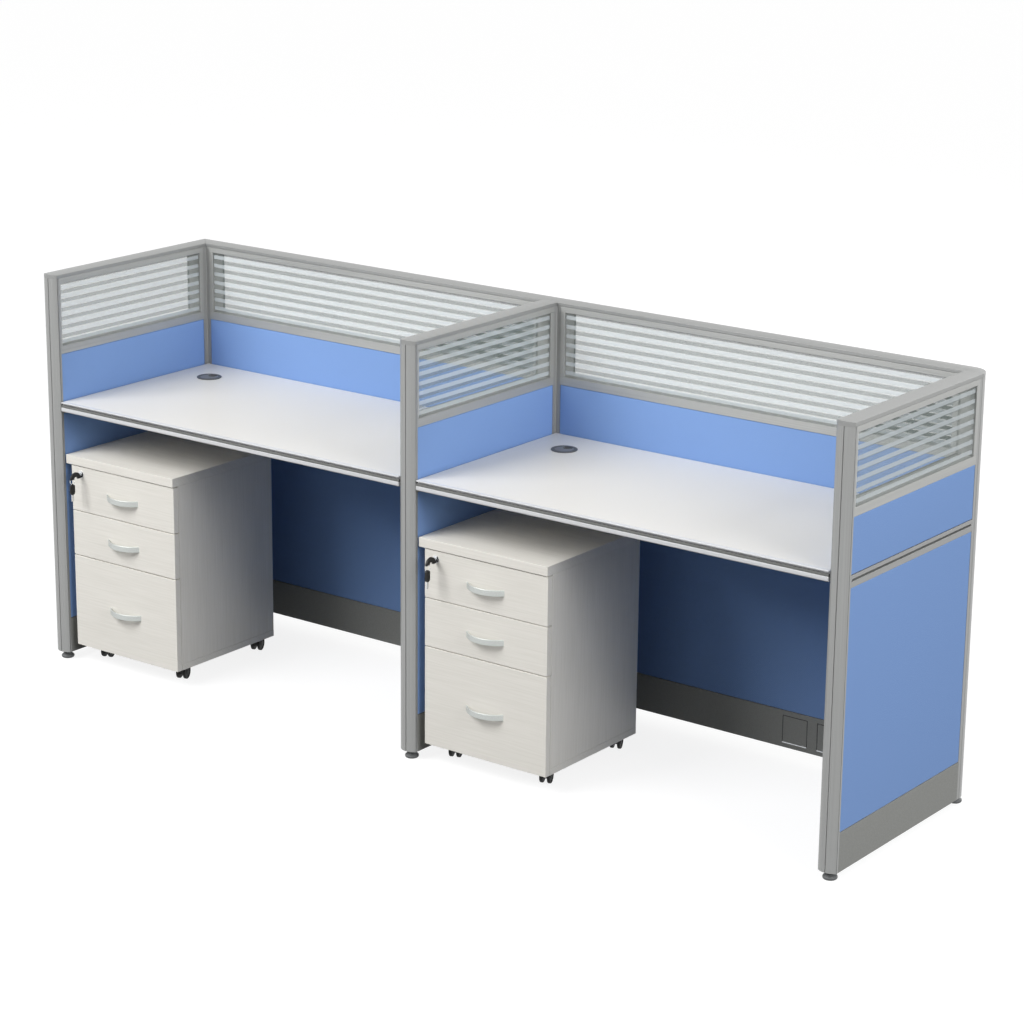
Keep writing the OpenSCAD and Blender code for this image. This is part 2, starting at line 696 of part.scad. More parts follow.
// A foot with a rounded pad on the floor, a cone and a neck under the post, and a stem inside it
module levelling_foot(x, y, neck_top) color([0.5, 0.51, 0.52]) translate([x, y, 0]) {
    rotate_extrude() {
        square([pad_r - pad_edge_r, pad_h]);
        translate([0, pad_edge_r]) square([pad_r, pad_h - 2 * pad_edge_r]);
        for (z = [pad_edge_r, pad_h - pad_edge_r]) translate([pad_r - pad_edge_r, z]) circle(pad_edge_r);
        polygon([[0, pad_h / 2], [cone_r, pad_h / 2], [cone_r, pad_h], [neck_r, pad_h + cone_h],
                 [neck_r, neck_top], [0, neck_top]]);
    }
    cylinder(h = neck_top + stem_len, r = stem_r);
}

// Pedestals, in a frame whose origin is at the carcass's left front lower corner

module at_pedestal(bay) translate([ped_x0s[bay], 0, 0]) children();

module castor_stem_bore(p) translate([p[0], ped_front_y + p[1], ped_floor_gap - cut])
    cylinder(h = castor_stem_len + cut + fit, r = castor_stem_r + castor_clear);

module pedestal_carcass(bay) color([0.89, 0.87, 0.83]) at_pedestal(bay) {
    bottom_top = ped_floor_gap + ped_bottom_t;
    wall_z0 = bottom_top + board_joint;
    wall_z1 = carcass_top_z - board_joint;
    inner_x = ped_side_t + board_joint;
    difference() {
        block([0, carcass_front_y, ped_floor_gap], [ped_w, ped_back_y, bottom_top]);
        for (p = castor_places) castor_stem_bore(p);
    }
    for (x = [0, ped_w - ped_side_t])
        block([x, carcass_front_y, wall_z0], [x + ped_side_t, ped_back_y, wall_z1]);
    block([inner_x, back_board_y, wall_z0], [ped_w - inner_x, ped_back_y, wall_z1]);
    block([-ped_top_over_x, ped_front_y - ped_top_over_y, carcass_top_z], [ped_w, ped_back_y, ped_h]);
    block([lock_x - strike_w / 2, carcass_front_y, wall_z1 - strike_h],
          [lock_x + strike_w / 2, carcass_front_y + cam_t, wall_z1]);
}

// One runner on the carcass's left side: an upright web and a ledge under the drawer box
module runner(z) {
    ledge_z = z - runner_clear - runner_ledge_t;
    block([ped_side_t, runner_y0, ledge_z], [ped_side_t + runner_w, runner_y1, z + runner_h]);
    block([ped_side_t, runner_y0, ledge_z],
          [box_x0 + runner_ledge_w, runner_y1, ledge_z + runner_ledge_t]);
}

module drawer_runners(bay) color([0.85, 0.85, 0.85]) at_pedestal(bay)
    for (z = box_zs) {
        runner(z);
        translate([ped_w, 0, 0]) mirror([1, 0, 0]) runner(z);
    }

// level 0 is the file drawer at the bottom, 2 the top drawer with the lock
module drawer(bay, level) color([0.9, 0.88, 0.84]) at_pedestal(bay) {
    z = box_zs[level];
    h = box_hs[level];
    difference() {
        block([0, ped_front_y, front_zs[level]], [ped_w, box_front_y, front_zs[level] + front_hs[level]]);
        if (level == 2) translate([lock_x, box_front_y + cut, lock_axis_z]) rotate([90, 0, 0])
            cylinder(h = front_t + 2 * cut, r = lock_r);
    }
    box_y = box_front_y + board_joint;
    inner_x0 = box_x0 + box_t + board_joint;
    inner_x1 = box_x1 - box_t - board_joint;
    for (x = [box_x0, box_x1 - box_t])
        block([x, box_y, z], [x + box_t, box_back_y, z + h]);
    block([inner_x0, box_back_y - box_t, z], [inner_x1, box_back_y, z + h]);
    block([inner_x0, box_y, z + box_bottom_lift],
          [inner_x1, box_back_y - box_t - board_joint, z + box_bottom_lift + box_bottom_t]);
}

// A bow handle: an arc of a ring cut off by the face of its drawer front
module drawer_handle(bay, level) color([0.82, 0.84, 0.85]) {
    out_r = (pow(handle_w / 2, 2) + pow(handle_d, 2)) / (2 * handle_d);
    end_r = handle_band_t / 2;
    at_pedestal(bay) translate([ped_w / 2, ped_front_y, front_zs[level] + front_hs[level] / 2 - handle_drop])
        intersection() {
            translate([0, out_r - handle_d, 0]) rotate_extrude($fn = 96)
                translate([out_r - handle_band_t, -handle_band_h / 2]) {
                    translate([0, end_r]) square([handle_band_t, handle_band_h - handle_band_t]);
                    for (y = [end_r, handle_band_h - end_r]) translate([end_r, y]) circle(end_r);
                }
            block([-handle_w, -handle_d - cut, -handle_band_h], [handle_w, 0, handle_band_h]);
        }
}

// Locks and keys, on an axis that points out of the drawer front along -Y

module at_lock(bay) at_pedestal(bay) translate([lock_x, ped_front_y, lock_axis_z]) children();

module lock_barrel(bay) color([0.78, 0.78, 0.79]) at_lock(bay) rotate([90, 0, 0]) difference() {
    union() {
        translate([0, 0, -barrel_depth]) cylinder(h = barrel_depth, r = lock_r);
        cylinder(h = lock_collar_t, r = lock_collar_r);
    }
    translate([0, 0, -barrel_depth - cut])
        cylinder(h = barrel_depth + lock_collar_t + 2 * cut, r = plug_r + plug_clear);
}

// Turns an outline drawn with x as the distance out of the drawer front and y as height
module upright_plate(t) rotate([90, 0, -90]) translate([0, 0, -t / 2]) linear_extrude(t) children();

module ring_bore(y, z) translate([-bow_t, -y, z]) rotate([0, 90, 0])
    cylinder(h = 2 * bow_t, r = ring_hole_r, $fn = 32);

// The plug with its keyway, and the cam behind the drawer front that it turns up behind the strike
module lock_plug() rotate([90, 0, 0]) translate([0, 0, -barrel_depth]) {
    difference() {
        cylinder(h = barrel_depth + lock_collar_t + fit, r = plug_r);
        block([-blade_t / 2 - fit, -blade_w / 2 - fit, lock_rear],
              [blade_t / 2 + fit, blade_w / 2 + fit, barrel_depth + lock_collar_t + cut]);
    }
    translate([0, 0, -fit]) cylinder(h = fit, r = plug_r);
    block([0, -cam_w / 2, -fit - cam_t], [cam_len, cam_w / 2, -fit]);
    translate([0, 0, -fit - cam_t]) cylinder(h = cam_t, r = cam_w / 2);
}

module key_and_plug(bay) color([0.08, 0.08, 0.08]) at_lock(bay) {
    blade_depth = barrel_depth - lock_rear - fit;
    lock_plug();
    upright_plate(blade_t) translate([-blade_depth, -blade_w / 2])
        square([blade_depth + bow_y - bow_inner_r, blade_w]);
    difference() {
        upright_plate(bow_t) translate([bow_y, -bow_drop]) difference() {
            circle(bow_r);
            circle(bow_inner_r);
            translate([-bow_r - cut, -bow_r - cut]) square([2 * (bow_r + cut), bow_r + cut]);
        }
        ring_bore(ring_hole_y, ring_hole_z);
    }
}

// The ring hangs in the bow's hole and the spare key hangs in the ring
module spare_key(bay) color([0.1, 0.1, 0.1]) at_lock(bay) {
    translate([0, -ring_hole_y, ring_z]) rotate([90, 0, 0])
        rotate_extrude() translate([ring_r, 0]) circle(ring_wire_r, $fn = 24);
    difference() {
        upright_plate(bow_t) translate([ring_hole_y, spare_top_z]) {
            for (z = [-spare_w / 2, spare_w / 2 - spare_len]) translate([0, z]) circle(spare_w / 2);
            translate([-spare_w / 2, spare_w / 2 - spare_len]) square([spare_w, spare_len - spare_w]);
        }
        ring_bore(ring_hole_y, spare_hole_z);
    }
    upright_plate(blade_t) translate([ring_hole_y - blade_w / 2, spare_top_z - spare_len - spare_blade_len])
        square([blade_w, spare_blade_len + spare_w / 4]);
}

// Castors

// A castor's own frame has its origin on the floor under the swivel axis, wheels towards +X
module at_castor(bay, i) at_pedestal(bay)
    translate([castor_places[i][0], ped_front_y + castor_places[i][1], 0])
        rotate([0, 0, castor_angle]) children();

module across_axle(len) translate([castor_trail, 0, wheel_r]) rotate([90, 0, 0])
    translate([0, 0, -len / 2]) children();

// A curved hood over the tops of both wheels
module castor_hood(width) intersection() {
    across_axle(width) difference() {
        cylinder(h = width, r = wheel_r + hood_gap + hood_t);
        translate([0, 0, -cut]) cylinder(h = width + 2 * cut, r = wheel_r + hood_gap);
    }
    block([-2 * wheel_r, -width, wheel_r + boss_r], [2 * wheel_r + castor_trail, width, 3 * wheel_r]);
}

module castor_fork(bay, i) color([0.06, 0.06, 0.06]) at_castor(bay, i) {
    crown_z = ped_floor_gap - fit - crown_t;
    castor_hood(wheels_span);
    translate([0, 0, crown_z]) cylinder(h = crown_t, r = boss_r);
    translate([0, 0, crown_z]) cylinder(h = ped_floor_gap - crown_z + castor_stem_len, r = castor_stem_r);
    difference() {
        union() {
            block([0, -web_t / 2, wheel_r], [castor_trail + boss_r, web_t / 2, crown_z + crown_t]);
            across_axle(web_t) cylinder(h = web_t, r = boss_r);
        }
        across_axle(web_t + 2 * cut) cylinder(h = web_t + 2 * cut, r = axle_r + castor_clear);
    }
}

// The axle and the two wheels at its ends
module castor_wheels(bay, i) color([0.04, 0.04, 0.04]) at_castor(bay, i) {
    across_axle(axle_len) cylinder(h = axle_len, r = axle_r);
    across_axle(wheels_span)
        for (z = [0, wheels_span - wheel_w]) translate([0, 0, z]) rotate_extrude($fn = 96) {
            square([wheel_r - wheel_edge_r, wheel_w]);
            translate([0, wheel_edge_r]) square([wheel_r, wheel_w - 2 * wheel_edge_r]);
            for (y = [wheel_edge_r, wheel_w - wheel_edge_r])
                translate([wheel_r - wheel_edge_r, y]) circle(wheel_edge_r);
        }
}

front_end_trims();
corner_posts();
top_caps();
screen_frames();
glass_panes();
fabric_tiles();
slot_rails();
kick_plates();
desktops();
desk_edge_trims();
desk_edge_inserts();
desk_support_angles();
desk_screws();
grommet_rings();
grommet_cap(0);  // left_grommet_cap
grommet_cap(1);  // right_grommet_cap
levelling_foot(foot_xs[0], foot_front_y, foot_h);  // foot_front_left
levelling_foot(foot_xs[1], foot_front_y, foot_h);  // foot_front_middle
levelling_foot(foot_xs[2], foot_front_y, foot_h);  // foot_front_right
levelling_foot(foot_xs[0], back_y, foot_h);  // foot_back_left
levelling_foot(foot_xs[1], back_y, foot_h);  // foot_back_middle
levelling_foot(foot_xs[2], back_y, foot_h);  // foot_back_right
pedestal_carcass(0);  // left_pedestal_carcass
drawer_runners(0);  // left_drawer_runners
drawer(0, 0);  // left_file_drawer
drawer(0, 1);  // left_middle_drawer
drawer(0, 2);  // left_top_drawer
drawer_handle(0, 0);  // left_file_handle
drawer_handle(0, 1);  // left_middle_handle
drawer_handle(0, 2);  // left_top_handle
lock_barrel(0);  // left_lock_barrel
key_and_plug(0);  // left_key_and_plug
spare_key(0);  // left_spare_key
castor_fork(0, 0);  // left_castor_fork_1
castor_fork(0, 1);  // left_castor_fork_2
castor_fork(0, 2);  // left_castor_fork_3
castor_fork(0, 3);  // left_castor_fork_4
castor_wheels(0, 0);  // left_castor_wheels_1
castor_wheels(0, 1);  // left_castor_wheels_2
castor_wheels(0, 2);  // left_castor_wheels_3
castor_wheels(0, 3);  // left_castor_wheels_4
pedestal_carcass(1);  // right_pedestal_carcass
drawer_runners(1);  // right_drawer_runners
drawer(1, 0);  // right_file_drawer
drawer(1, 1);  // right_middle_drawer
drawer(1, 2);  // right_top_drawer
drawer_handle(1, 0);  // right_file_handle
drawer_handle(1, 1);  // right_middle_handle
drawer_handle(1, 2);  // right_top_handle
lock_barrel(1);  // right_lock_barrel
key_and_plug(1);  // right_key_and_plug
spare_key(1);  // right_spare_key
castor_fork(1, 0);  // right_castor_fork_1
castor_fork(1, 1);  // right_castor_fork_2
castor_fork(1, 2);  // right_castor_fork_3
castor_fork(1, 3);  // right_castor_fork_4
castor_wheels(1, 0);  // right_castor_wheels_1
castor_wheels(1, 1);  // right_castor_wheels_2
castor_wheels(1, 2);  // right_castor_wheels_3
castor_wheels(1, 3);  // right_castor_wheels_4
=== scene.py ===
import json
import math

import bmesh
import bpy
from mathutils import Matrix, Vector

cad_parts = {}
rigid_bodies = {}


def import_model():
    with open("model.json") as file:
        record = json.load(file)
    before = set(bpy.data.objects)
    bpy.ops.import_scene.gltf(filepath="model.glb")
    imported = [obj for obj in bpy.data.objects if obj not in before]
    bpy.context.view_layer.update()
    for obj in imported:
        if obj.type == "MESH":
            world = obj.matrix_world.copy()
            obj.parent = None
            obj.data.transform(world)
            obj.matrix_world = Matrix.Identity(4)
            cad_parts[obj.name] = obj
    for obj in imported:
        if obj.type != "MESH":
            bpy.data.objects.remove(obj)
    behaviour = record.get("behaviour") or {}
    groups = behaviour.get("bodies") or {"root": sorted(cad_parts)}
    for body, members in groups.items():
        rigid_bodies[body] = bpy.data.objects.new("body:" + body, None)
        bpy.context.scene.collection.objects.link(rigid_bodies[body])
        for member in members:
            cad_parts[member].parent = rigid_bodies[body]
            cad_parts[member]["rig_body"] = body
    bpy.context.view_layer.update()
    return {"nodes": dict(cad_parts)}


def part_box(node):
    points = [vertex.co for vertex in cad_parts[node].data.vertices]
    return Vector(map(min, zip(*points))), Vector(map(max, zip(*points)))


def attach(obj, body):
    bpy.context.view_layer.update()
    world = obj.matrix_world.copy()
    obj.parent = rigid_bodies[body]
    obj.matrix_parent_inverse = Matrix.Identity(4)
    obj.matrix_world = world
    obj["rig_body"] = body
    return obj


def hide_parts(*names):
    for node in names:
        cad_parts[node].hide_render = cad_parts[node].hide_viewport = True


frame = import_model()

nodes = frame["nodes"]
mm = 0.001
screenDepth = 50 * mm
lengthUv = "length"  # UV map with u along each bar or board and v across it, in metres


def toLinear(hexColour):
    channels = [int(hexColour[i:i + 2], 16) / 255 for i in (0, 2, 4)]
    return tuple(c / 12.92 if c <= 0.04045 else ((c + 0.055) / 1.055) ** 2.4 for c in channels) + (1.0,)


def addNode(tree, kind, inputs=None, **settings):
    node = tree.nodes.new(kind)
    for setting, value in settings.items():
        setattr(node, setting, value)
    for key, value in (inputs or {}).items():
        if isinstance(value, bpy.types.NodeSocket):
            tree.links.new(value, node.inputs[key])
        else:
            node.inputs[key].default_value = value
    return node


# A material with one Principled shader, whose plain values are set on its own sockets
def startMaterial(name, colour, roughness, **sockets):
    material = bpy.data.materials.new(name)
    material.use_nodes = True
    tree = material.node_tree
    tree.nodes.clear()
    shader = addNode(tree, "ShaderNodeBsdfPrincipled", {"Base Color": toLinear(colour),
                                                        "Roughness": roughness})
    for socket, value in sockets.items():
        shader.inputs[socket.replace("_", " ")].default_value = value
    addNode(tree, "ShaderNodeOutputMaterial", {"Surface": shader.outputs["BSDF"]})
    return material, tree, shader


# Noise that is drawn out along u of the length map: both scales are in cycles a metre
def streaks(tree, along, across, detail=3.0):
    uv = addNode(tree, "ShaderNodeUVMap", uv_map=lengthUv)
    scaled = addNode(tree, "ShaderNodeMapping", {"Vector": uv.outputs["UV"], "Scale": (along, across, 1.0)})
    return addNode(tree, "ShaderNodeTexNoise", {"Vector": scaled.outputs["Vector"], "Scale": 1.0,
                                                "Detail": detail, "Roughness": 0.55}).outputs["Fac"]


# Noise on Object coordinates, at a scale in cycles a metre
def grit(tree, scale, detail=2.0):
    place = addNode(tree, "ShaderNodeTexCoord")
    return addNode(tree, "ShaderNodeTexNoise", {"Vector": place.outputs["Object"], "Scale": scale,
                                                "Detail": detail, "Roughness": 0.6}).outputs["Fac"]


def colourBetween(tree, factor, dark, light, low=0.3, high=0.7):
    ramp = addNode(tree, "ShaderNodeValToRGB", {"Fac": factor})
    ramp.color_ramp.elements[0].position, ramp.color_ramp.elements[0].color = low, toLinear(dark)
    ramp.color_ramp.elements[1].position, ramp.color_ramp.elements[1].color = high, toLinear(light)
    return ramp.outputs["Color"]


def between(tree, factor, low, high):
    return addNode(tree, "ShaderNodeMapRange", {"Value": factor, "From Min": 0.3, "From Max": 0.7,
                                                "To Min": low, "To Max": high}).outputs["Result"]


def bumpFrom(tree, shader, height, depth, strength=1.0):
    bump = addNode(tree, "ShaderNodeBump", {"Height": height, "Distance": depth, "Strength": strength})
    tree.links.new(bump.outputs["Normal"], shader.inputs["Normal"])


# Extruded aluminium, satin anodised: a soft grey metal with die lines along each bar.
# Real die lines are about 0.2 mm apart, which is too fine to show, so they are drawn 1.5 mm apart.
# Metallic is well under a bare metal's 1: it was matched to the photo, where the bars mirror little.
def anodisedAluminium(name, dark, light, roughness, metallic):
    material, tree, shader = startMaterial(name, light, roughness, Metallic=metallic)
    dieLines = streaks(tree, 2.0, 650.0)
    tree.links.new(colourBetween(tree, dieLines, dark, light), shader.inputs["Base Color"])
    tree.links.new(between(tree, dieLines, roughness - 0.05, roughness + 0.05), shader.inputs["Roughness"])
    bumpFrom(tree, shader, dieLines, 0.00004)
    return material


profileAluminium = anodisedAluminium("aluminiumSatinAnodised", "969796", "A5A6A5", 0.38, 0.3)
# The caps and slot rails take a darker copy of this aluminium as painted shade, and the screen frames a
# lighter copy as painted light
paintedShadeAluminium = anodisedAluminium("aluminiumSatinAnodisedPaintedShade", "8F908F", "9C9D9C", 0.4, 0.3)
paintedLightAluminium = anodisedAluminium("aluminiumSatinAnodisedPaintedLight", "A3A4A2", "B1B2B0", 0.4, 0.3)


# Float glass, clear with a faint grey-green tint: see-through, with a sharp gloss.
clearGlass, tree, shader = startMaterial("glassClearFloat", "98A39F", 0.04, IOR=1.5, Alpha=0.145)
tree.links.new(between(tree, grit(tree, 3.0), 0.03, 0.06), shader.inputs["Roughness"])

# Frosted vinyl film, cut in level stripes on the glass: a thin milky white that lets most of the light by.
frostedFilm, tree, shader = startMaterial("filmFrostedVinyl", "E7EFF3", 0.6, Alpha=0.3)
filmGrain = grit(tree, 900.0)  # real grain is under 0.1 mm, drawn at about 1 mm
tree.links.new(colourBetween(tree, filmGrain, "E1E9ED", "EDF4F7"), shader.inputs["Base Color"])
bumpFrom(tree, shader, filmGrain, 0.00005)

# Glazing gasket, extruded rubber: matt grey.
gasketRubber, tree, shader = startMaterial("rubberExtrudedGrey", "8A8C8B", 0.7)
rubberGrain = grit(tree, 700.0)
tree.links.new(colourBetween(tree, rubberGrain, "808280", "949694"), shader.inputs["Base Color"])
bumpFrom(tree, shader, rubberGrain, 0.00005)


# Polyester panel fabric in a plain weave: dull, with a soft sheen and a speckle of lighter threads.
# Real threads are about 0.6 mm apart, which is too fine to show, so they are drawn 2.4 mm apart.
def wovenFabric(name, dark, light, fleck, threadSpacing=0.0024):
    material, tree, shader = startMaterial(name, light, 0.9, Sheen_Weight=0.06, Sheen_Roughness=0.5,
                                           Specular_IOR_Level=0.1)
    place = addNode(tree, "ShaderNodeTexCoord")
    axes = addNode(tree, "ShaderNodeSeparateXYZ", {"Vector": place.outputs["Object"]})
    along = addNode(tree, "ShaderNodeMath", {0: axes.outputs["X"], 1: axes.outputs["Y"]}, operation="ADD")
    waves = []
    # a panel lies along X or Y, so their sum runs along it
    for coordinate in (along.outputs[0], axes.outputs["Z"]):
        turns = addNode(tree, "ShaderNodeMath", {0: coordinate, 1: math.pi / threadSpacing},
                        operation="MULTIPLY")
        sine = addNode(tree, "ShaderNodeMath", {0: turns.outputs[0]}, operation="SINE")
        waves.append(sine.outputs[0])
    crossing = addNode(tree, "ShaderNodeMath", {0: waves[0], 1: waves[1]}, operation="MULTIPLY")
    weave = addNode(tree, "ShaderNodeMapRange", {"Value": crossing.outputs[0], "From Min": -1.0,
                                                 "From Max": 1.0})
    threads = addNode(tree, "ShaderNodeCombineXYZ", {"X": along.outputs[0], "Y": axes.outputs["Z"]})
    yarn = addNode(tree, "ShaderNodeTexNoise", {"Vector": threads.outputs["Vector"], "Scale": 420.0,
                                                "Detail": 3.0, "Roughness": 0.7})
    shade = addNode(tree, "ShaderNodeMath", {0: weave.outputs["Result"], 1: 0.3, 2: yarn.outputs["Fac"]},
                    operation="MULTIPLY_ADD")
    base = colourBetween(tree, shade.outputs[0], dark, light, 0.35, 0.95)
    speckle = addNode(tree, "ShaderNodeMapRange", {"Value": yarn.outputs["Fac"], "From Min": 0.62,
                                                   "From Max": 0.75, "To Max": 0.5})
    mixed = addNode(tree, "ShaderNodeMix", {"Factor": speckle.outputs["Result"], "A": base,
                                            "B": toLinear(fleck)}, data_type="RGBA")
    tree.links.new(mixed.outputs["Result"], shader.inputs["Base Color"])
    bumpFrom(tree, shader, shade.outputs[0], 0.0006, 0.5)
    return material


panelFabric = wovenFabric("polyesterPlainWeave", "6E8FC8", "8BABDC", "B0C8EA")

# Kick plates, folded sheet steel with a grey powder coat: an even satin with a slight orange peel.
# Orange peel is about 1 mm across, drawn at 2 mm.
powderCoat, tree, shader = startMaterial("steelPowderCoatedGrey", "8C8D8A", 0.55, Specular_IOR_Level=0.2)
peel = grit(tree, 500.0)
tree.links.new(colourBetween(tree, peel, "868784", "929390"), shader.inputs["Base Color"])
bumpFrom(tree, shader, peel, 0.00012)

# Support angles, steel with a black powder coat: a dark satin. The same black fills the knock-outs' cuts as
# painted shade.
blackPowderCoatAndCutShade, tree, shader = startMaterial("steelPowderCoatedBlackAndCutShade", "1C1D1F", 0.5)
peel = grit(tree, 500.0)
tree.links.new(colourBetween(tree, peel, "18191B", "232527"), shader.inputs["Base Color"])
bumpFrom(tree, shader, peel, 0.00012)

# Desktop, white melamine pressed on particle board: a pale pearl texture with a low gloss.
# The pearl is drawn 1.4 mm across.
whiteMelamine, tree, shader = startMaterial("melaminePearlWhite", "E4E2DE", 0.4)
pearl = grit(tree, 700.0)
tree.links.new(colourBetween(tree, pearl, "E0DEDA", "E8E6E2"), shader.inputs["Base Color"])
tree.links.new(between(tree, pearl, 0.32, 0.42), shader.inputs["Roughness"])
bumpFrom(tree, shader, pearl, 0.00005)

# Desk edge, extruded PVC in silver white: smooth, with faint lines along it.
edgePvc, tree, shader = startMaterial("pvcExtrudedSilverWhite", "DADBDD", 0.3)
drawLines = streaks(tree, 1.5, 500.0)
tree.links.new(colourBetween(tree, drawLines, "CDCED1", "E4E5E7"), shader.inputs["Base Color"])
bumpFrom(tree, shader, drawLines, 0.00004)

# Edge insert, soft PVC in grey: matt.
insertPvc, tree, shader = startMaterial("pvcSoftGrey", "6E6F6D", 0.6)
drawLines = streaks(tree, 1.5, 700.0)
tree.links.new(colourBetween(tree, drawLines, "666765", "767775"), shader.inputs["Base Color"])
bumpFrom(tree, shader, drawLines, 0.00004)


# Moulded plastics: a fine spark-eroded grain of about 0.3 mm, drawn at 1 mm.
def mouldedPlastic(name, dark, light, roughness, **sockets):
    material, tree, shader = startMaterial(name, light, roughness, **sockets)
    grain = grit(tree, 1000.0)
    tree.links.new(colourBetween(tree, grain, dark, light), shader.inputs["Base Color"])
    tree.links.new(between(tree, grain, roughness - 0.06, roughness + 0.06), shader.inputs["Roughness"])
    bumpFrom(tree, shader, grain, 0.00006)
    return material


grommetPlastic = mouldedPlastic("absMouldedGrey", "4D4F51", "5C5E61", 0.45)
grommetCapPlastic = mouldedPlastic("absMouldedMidGrey", "6E7073", "7F8185", 0.42)
footNylon = mouldedPlastic("nylonMouldedGrey", "5A5C5D", "686A6B", 0.5)
castorNylon = mouldedPlastic("nylonMouldedBlack", "0E0F0F", "18191A", 0.55, Specular_IOR_Level=0.25)
keyPlastic = mouldedPlastic("absMouldedBlack", "0E0F10", "191A1B", 0.4, Specular_IOR_Level=0.3)


# Ash laminate, printed and pressed: light wood with grain lines along each board.
# Real grain lines are about 1 mm apart; they are drawn 4 mm apart, with broad bands 22 mm apart.
ashLaminate, tree, shader = startMaterial("laminateAshPrinted", "E2DED3", 0.42)
broadGrain = streaks(tree, 2.2, 45.0, 2.0)
fineGrain = streaks(tree, 7.0, 260.0, 3.0)
grain = addNode(tree, "ShaderNodeMath", {0: broadGrain, 1: 0.35, 2: fineGrain}, operation="MULTIPLY_ADD")
tree.links.new(colourBetween(tree, grain.outputs[0], "E6E3DB", "EFECE5", 0.45, 0.85),
               shader.inputs["Base Color"])
tree.links.new(between(tree, fineGrain, 0.38, 0.5), shader.inputs["Roughness"])
bumpFrom(tree, shader, fineGrain, 0.00006)

# Drawer runners, zinc plated and rolled: a bright cool grey.
runnerSteel, tree, shader = startMaterial("steelRolledZinc", "C9CCCE", 0.34, Metallic=0.9)
rollLines = streaks(tree, 3.0, 800.0)
tree.links.new(colourBetween(tree, rollLines, "B9BCBF", "D2D5D7"), shader.inputs["Base Color"])
bumpFrom(tree, shader, rollLines, 0.00003)

# Screws and the knock-outs' bare edges, zinc-plated steel: a bright grey with a faint mottle.
zincSteel, tree, shader = startMaterial("steelZincPlated", "C6C8CB", 0.3, Metallic=0.95)
tree.links.new(colourBetween(tree, grit(tree, 400.0), "B4B7BB", "D4D6D9"), shader.inputs["Base Color"])

# Bow handles, die-cast zinc with a satin nickel finish: pale, with a soft gloss.
satinNickel, tree, shader = startMaterial("zincDieCastSatinNickel", "C4C8C5", 0.42, Metallic=0.5)
satinGrain = grit(tree, 500.0)
tree.links.new(colourBetween(tree, satinGrain, "BBBFBC", "CCD0CD"), shader.inputs["Base Color"])
tree.links.new(between(tree, satinGrain, 0.38, 0.46), shader.inputs["Roughness"])

# Locks, turned brass with a polished chrome plate: a bright mirror.
polishedChrome, tree, shader = startMaterial("brassPolishedChromePlate", "D8DADC", 0.12, Metallic=1.0)
tree.links.new(between(tree, grit(tree, 300.0), 0.08, 0.16), shader.inputs["Roughness"])
print("materials made")


# Solids of a mesh as lists of vertices, in the mesh's own order
def solidsOf(work):
    seen, solids = set(), []
    for start in work.verts:
        if start in seen:
            continue
        seen.add(start)
        solid = [start]
        for vert in solid:
            for edge in vert.link_edges:
                other = edge.other_vert(vert)
                if other not in seen:
                    seen.add(other)
                    solid.append(other)
        solids.append(solid)
    return solids


def boxOf(points):
    return (Vector(min(p[i] for p in points) for i in range(3)),
            Vector(max(p[i] for p in points) for i in range(3)))


# A CAD node's mesh with its triangles merged into whole faces
def mergedCopy(nodeName, weld=0.002 * mm, flat=math.radians(0.4)):
    work = bmesh.new()
    work.from_mesh(nodes[nodeName].data)
    bmesh.ops.remove_doubles(work, verts=work.verts, dist=weld)
    bmesh.ops.dissolve_limit(work, angle_limit=flat, verts=work.verts, edges=work.edges)
    return work


# Rounds the sharp edges of each solid by itself, so that a small groove on one holds back no other
def easeEdges(work, width, segments=2, sharpest=math.radians(32)):
    for solid in solidsOf(work):
        members = set(solid)
        sharp = [edge for edge in work.edges if edge.verts[0] in members and len(edge.link_faces) == 2
                 and edge.calc_face_angle(0) > sharpest]
        bmesh.ops.bevel(work, geom=sharp, offset=width, offset_type="OFFSET", segments=segments, profile=0.5,
                        affect="EDGES", clamp_overlap=True)


# Lays the length map: u runs along each solid's longest side,
# or along the axis that alongOf gives for its size
def layLengthMap(work, alongOf=None):
    layer = work.loops.layers.uv.new(lengthUv)
    for solid in solidsOf(work):
        low, high = boxOf([vert.co for vert in solid])
        size = high - low
        along = alongOf(size) if alongOf else max(range(3), key=lambda axis: size[axis])
        first, second = [axis for axis in range(3) if axis != along]
        for vert in solid:
            for loop in vert.link_loops:
                loop[layer].uv = (vert.co[along], vert.co[first] + vert.co[second])


# Ends a piece with its material, smooth shading that keeps flat faces flat, its body
# and the CAD nodes it stands for
def finishPiece(name, work, material, slotName, body, *replaced, sharpFrom=50):
    mesh = bpy.data.meshes.new(name)
    work.to_mesh(mesh)
    work.free()
    for each in material if isinstance(material, (list, tuple)) else [material]:
        mesh.materials.append(each)
    mesh.shade_smooth()
    mesh.set_sharp_from_angle(angle=math.radians(sharpFrom))
    holder = bpy.data.objects.new(name, mesh)
    bpy.context.scene.collection.objects.link(holder)
    weighted = holder.modifiers.new("weightedNormals", "WEIGHTED_NORMAL")
    weighted.keep_sharp = True
    weighted.weight = 90
    final = bpy.data.meshes.new_from_object(holder.evaluated_get(bpy.context.evaluated_depsgraph_get()))
    final.name = name
    holder.modifiers.clear()
    holder.data = final
    bpy.data.meshes.remove(mesh)
    final.name = name
    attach(holder, body)
    if replaced:
        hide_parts(*replaced)
    return holder


def camelName(nodeName):
    words = nodeName.split("_")
    return words[0] + "".join(word.capitalize() for word in words[1:])


def easedPiece(nodeName, width, material, slotName, segments=2, alongOf=None, paintOf=None):
    work = mergedCopy(nodeName)
    easeEdges(work, width, segments)
    layLengthMap(work, alongOf)
    for face in work.faces if paintOf else ():
        face.material_index = int(paintOf(face.calc_center_median()))
    return finishPiece(camelName(nodeName), work, material, slotName, nodes[nodeName]["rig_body"], nodeName)


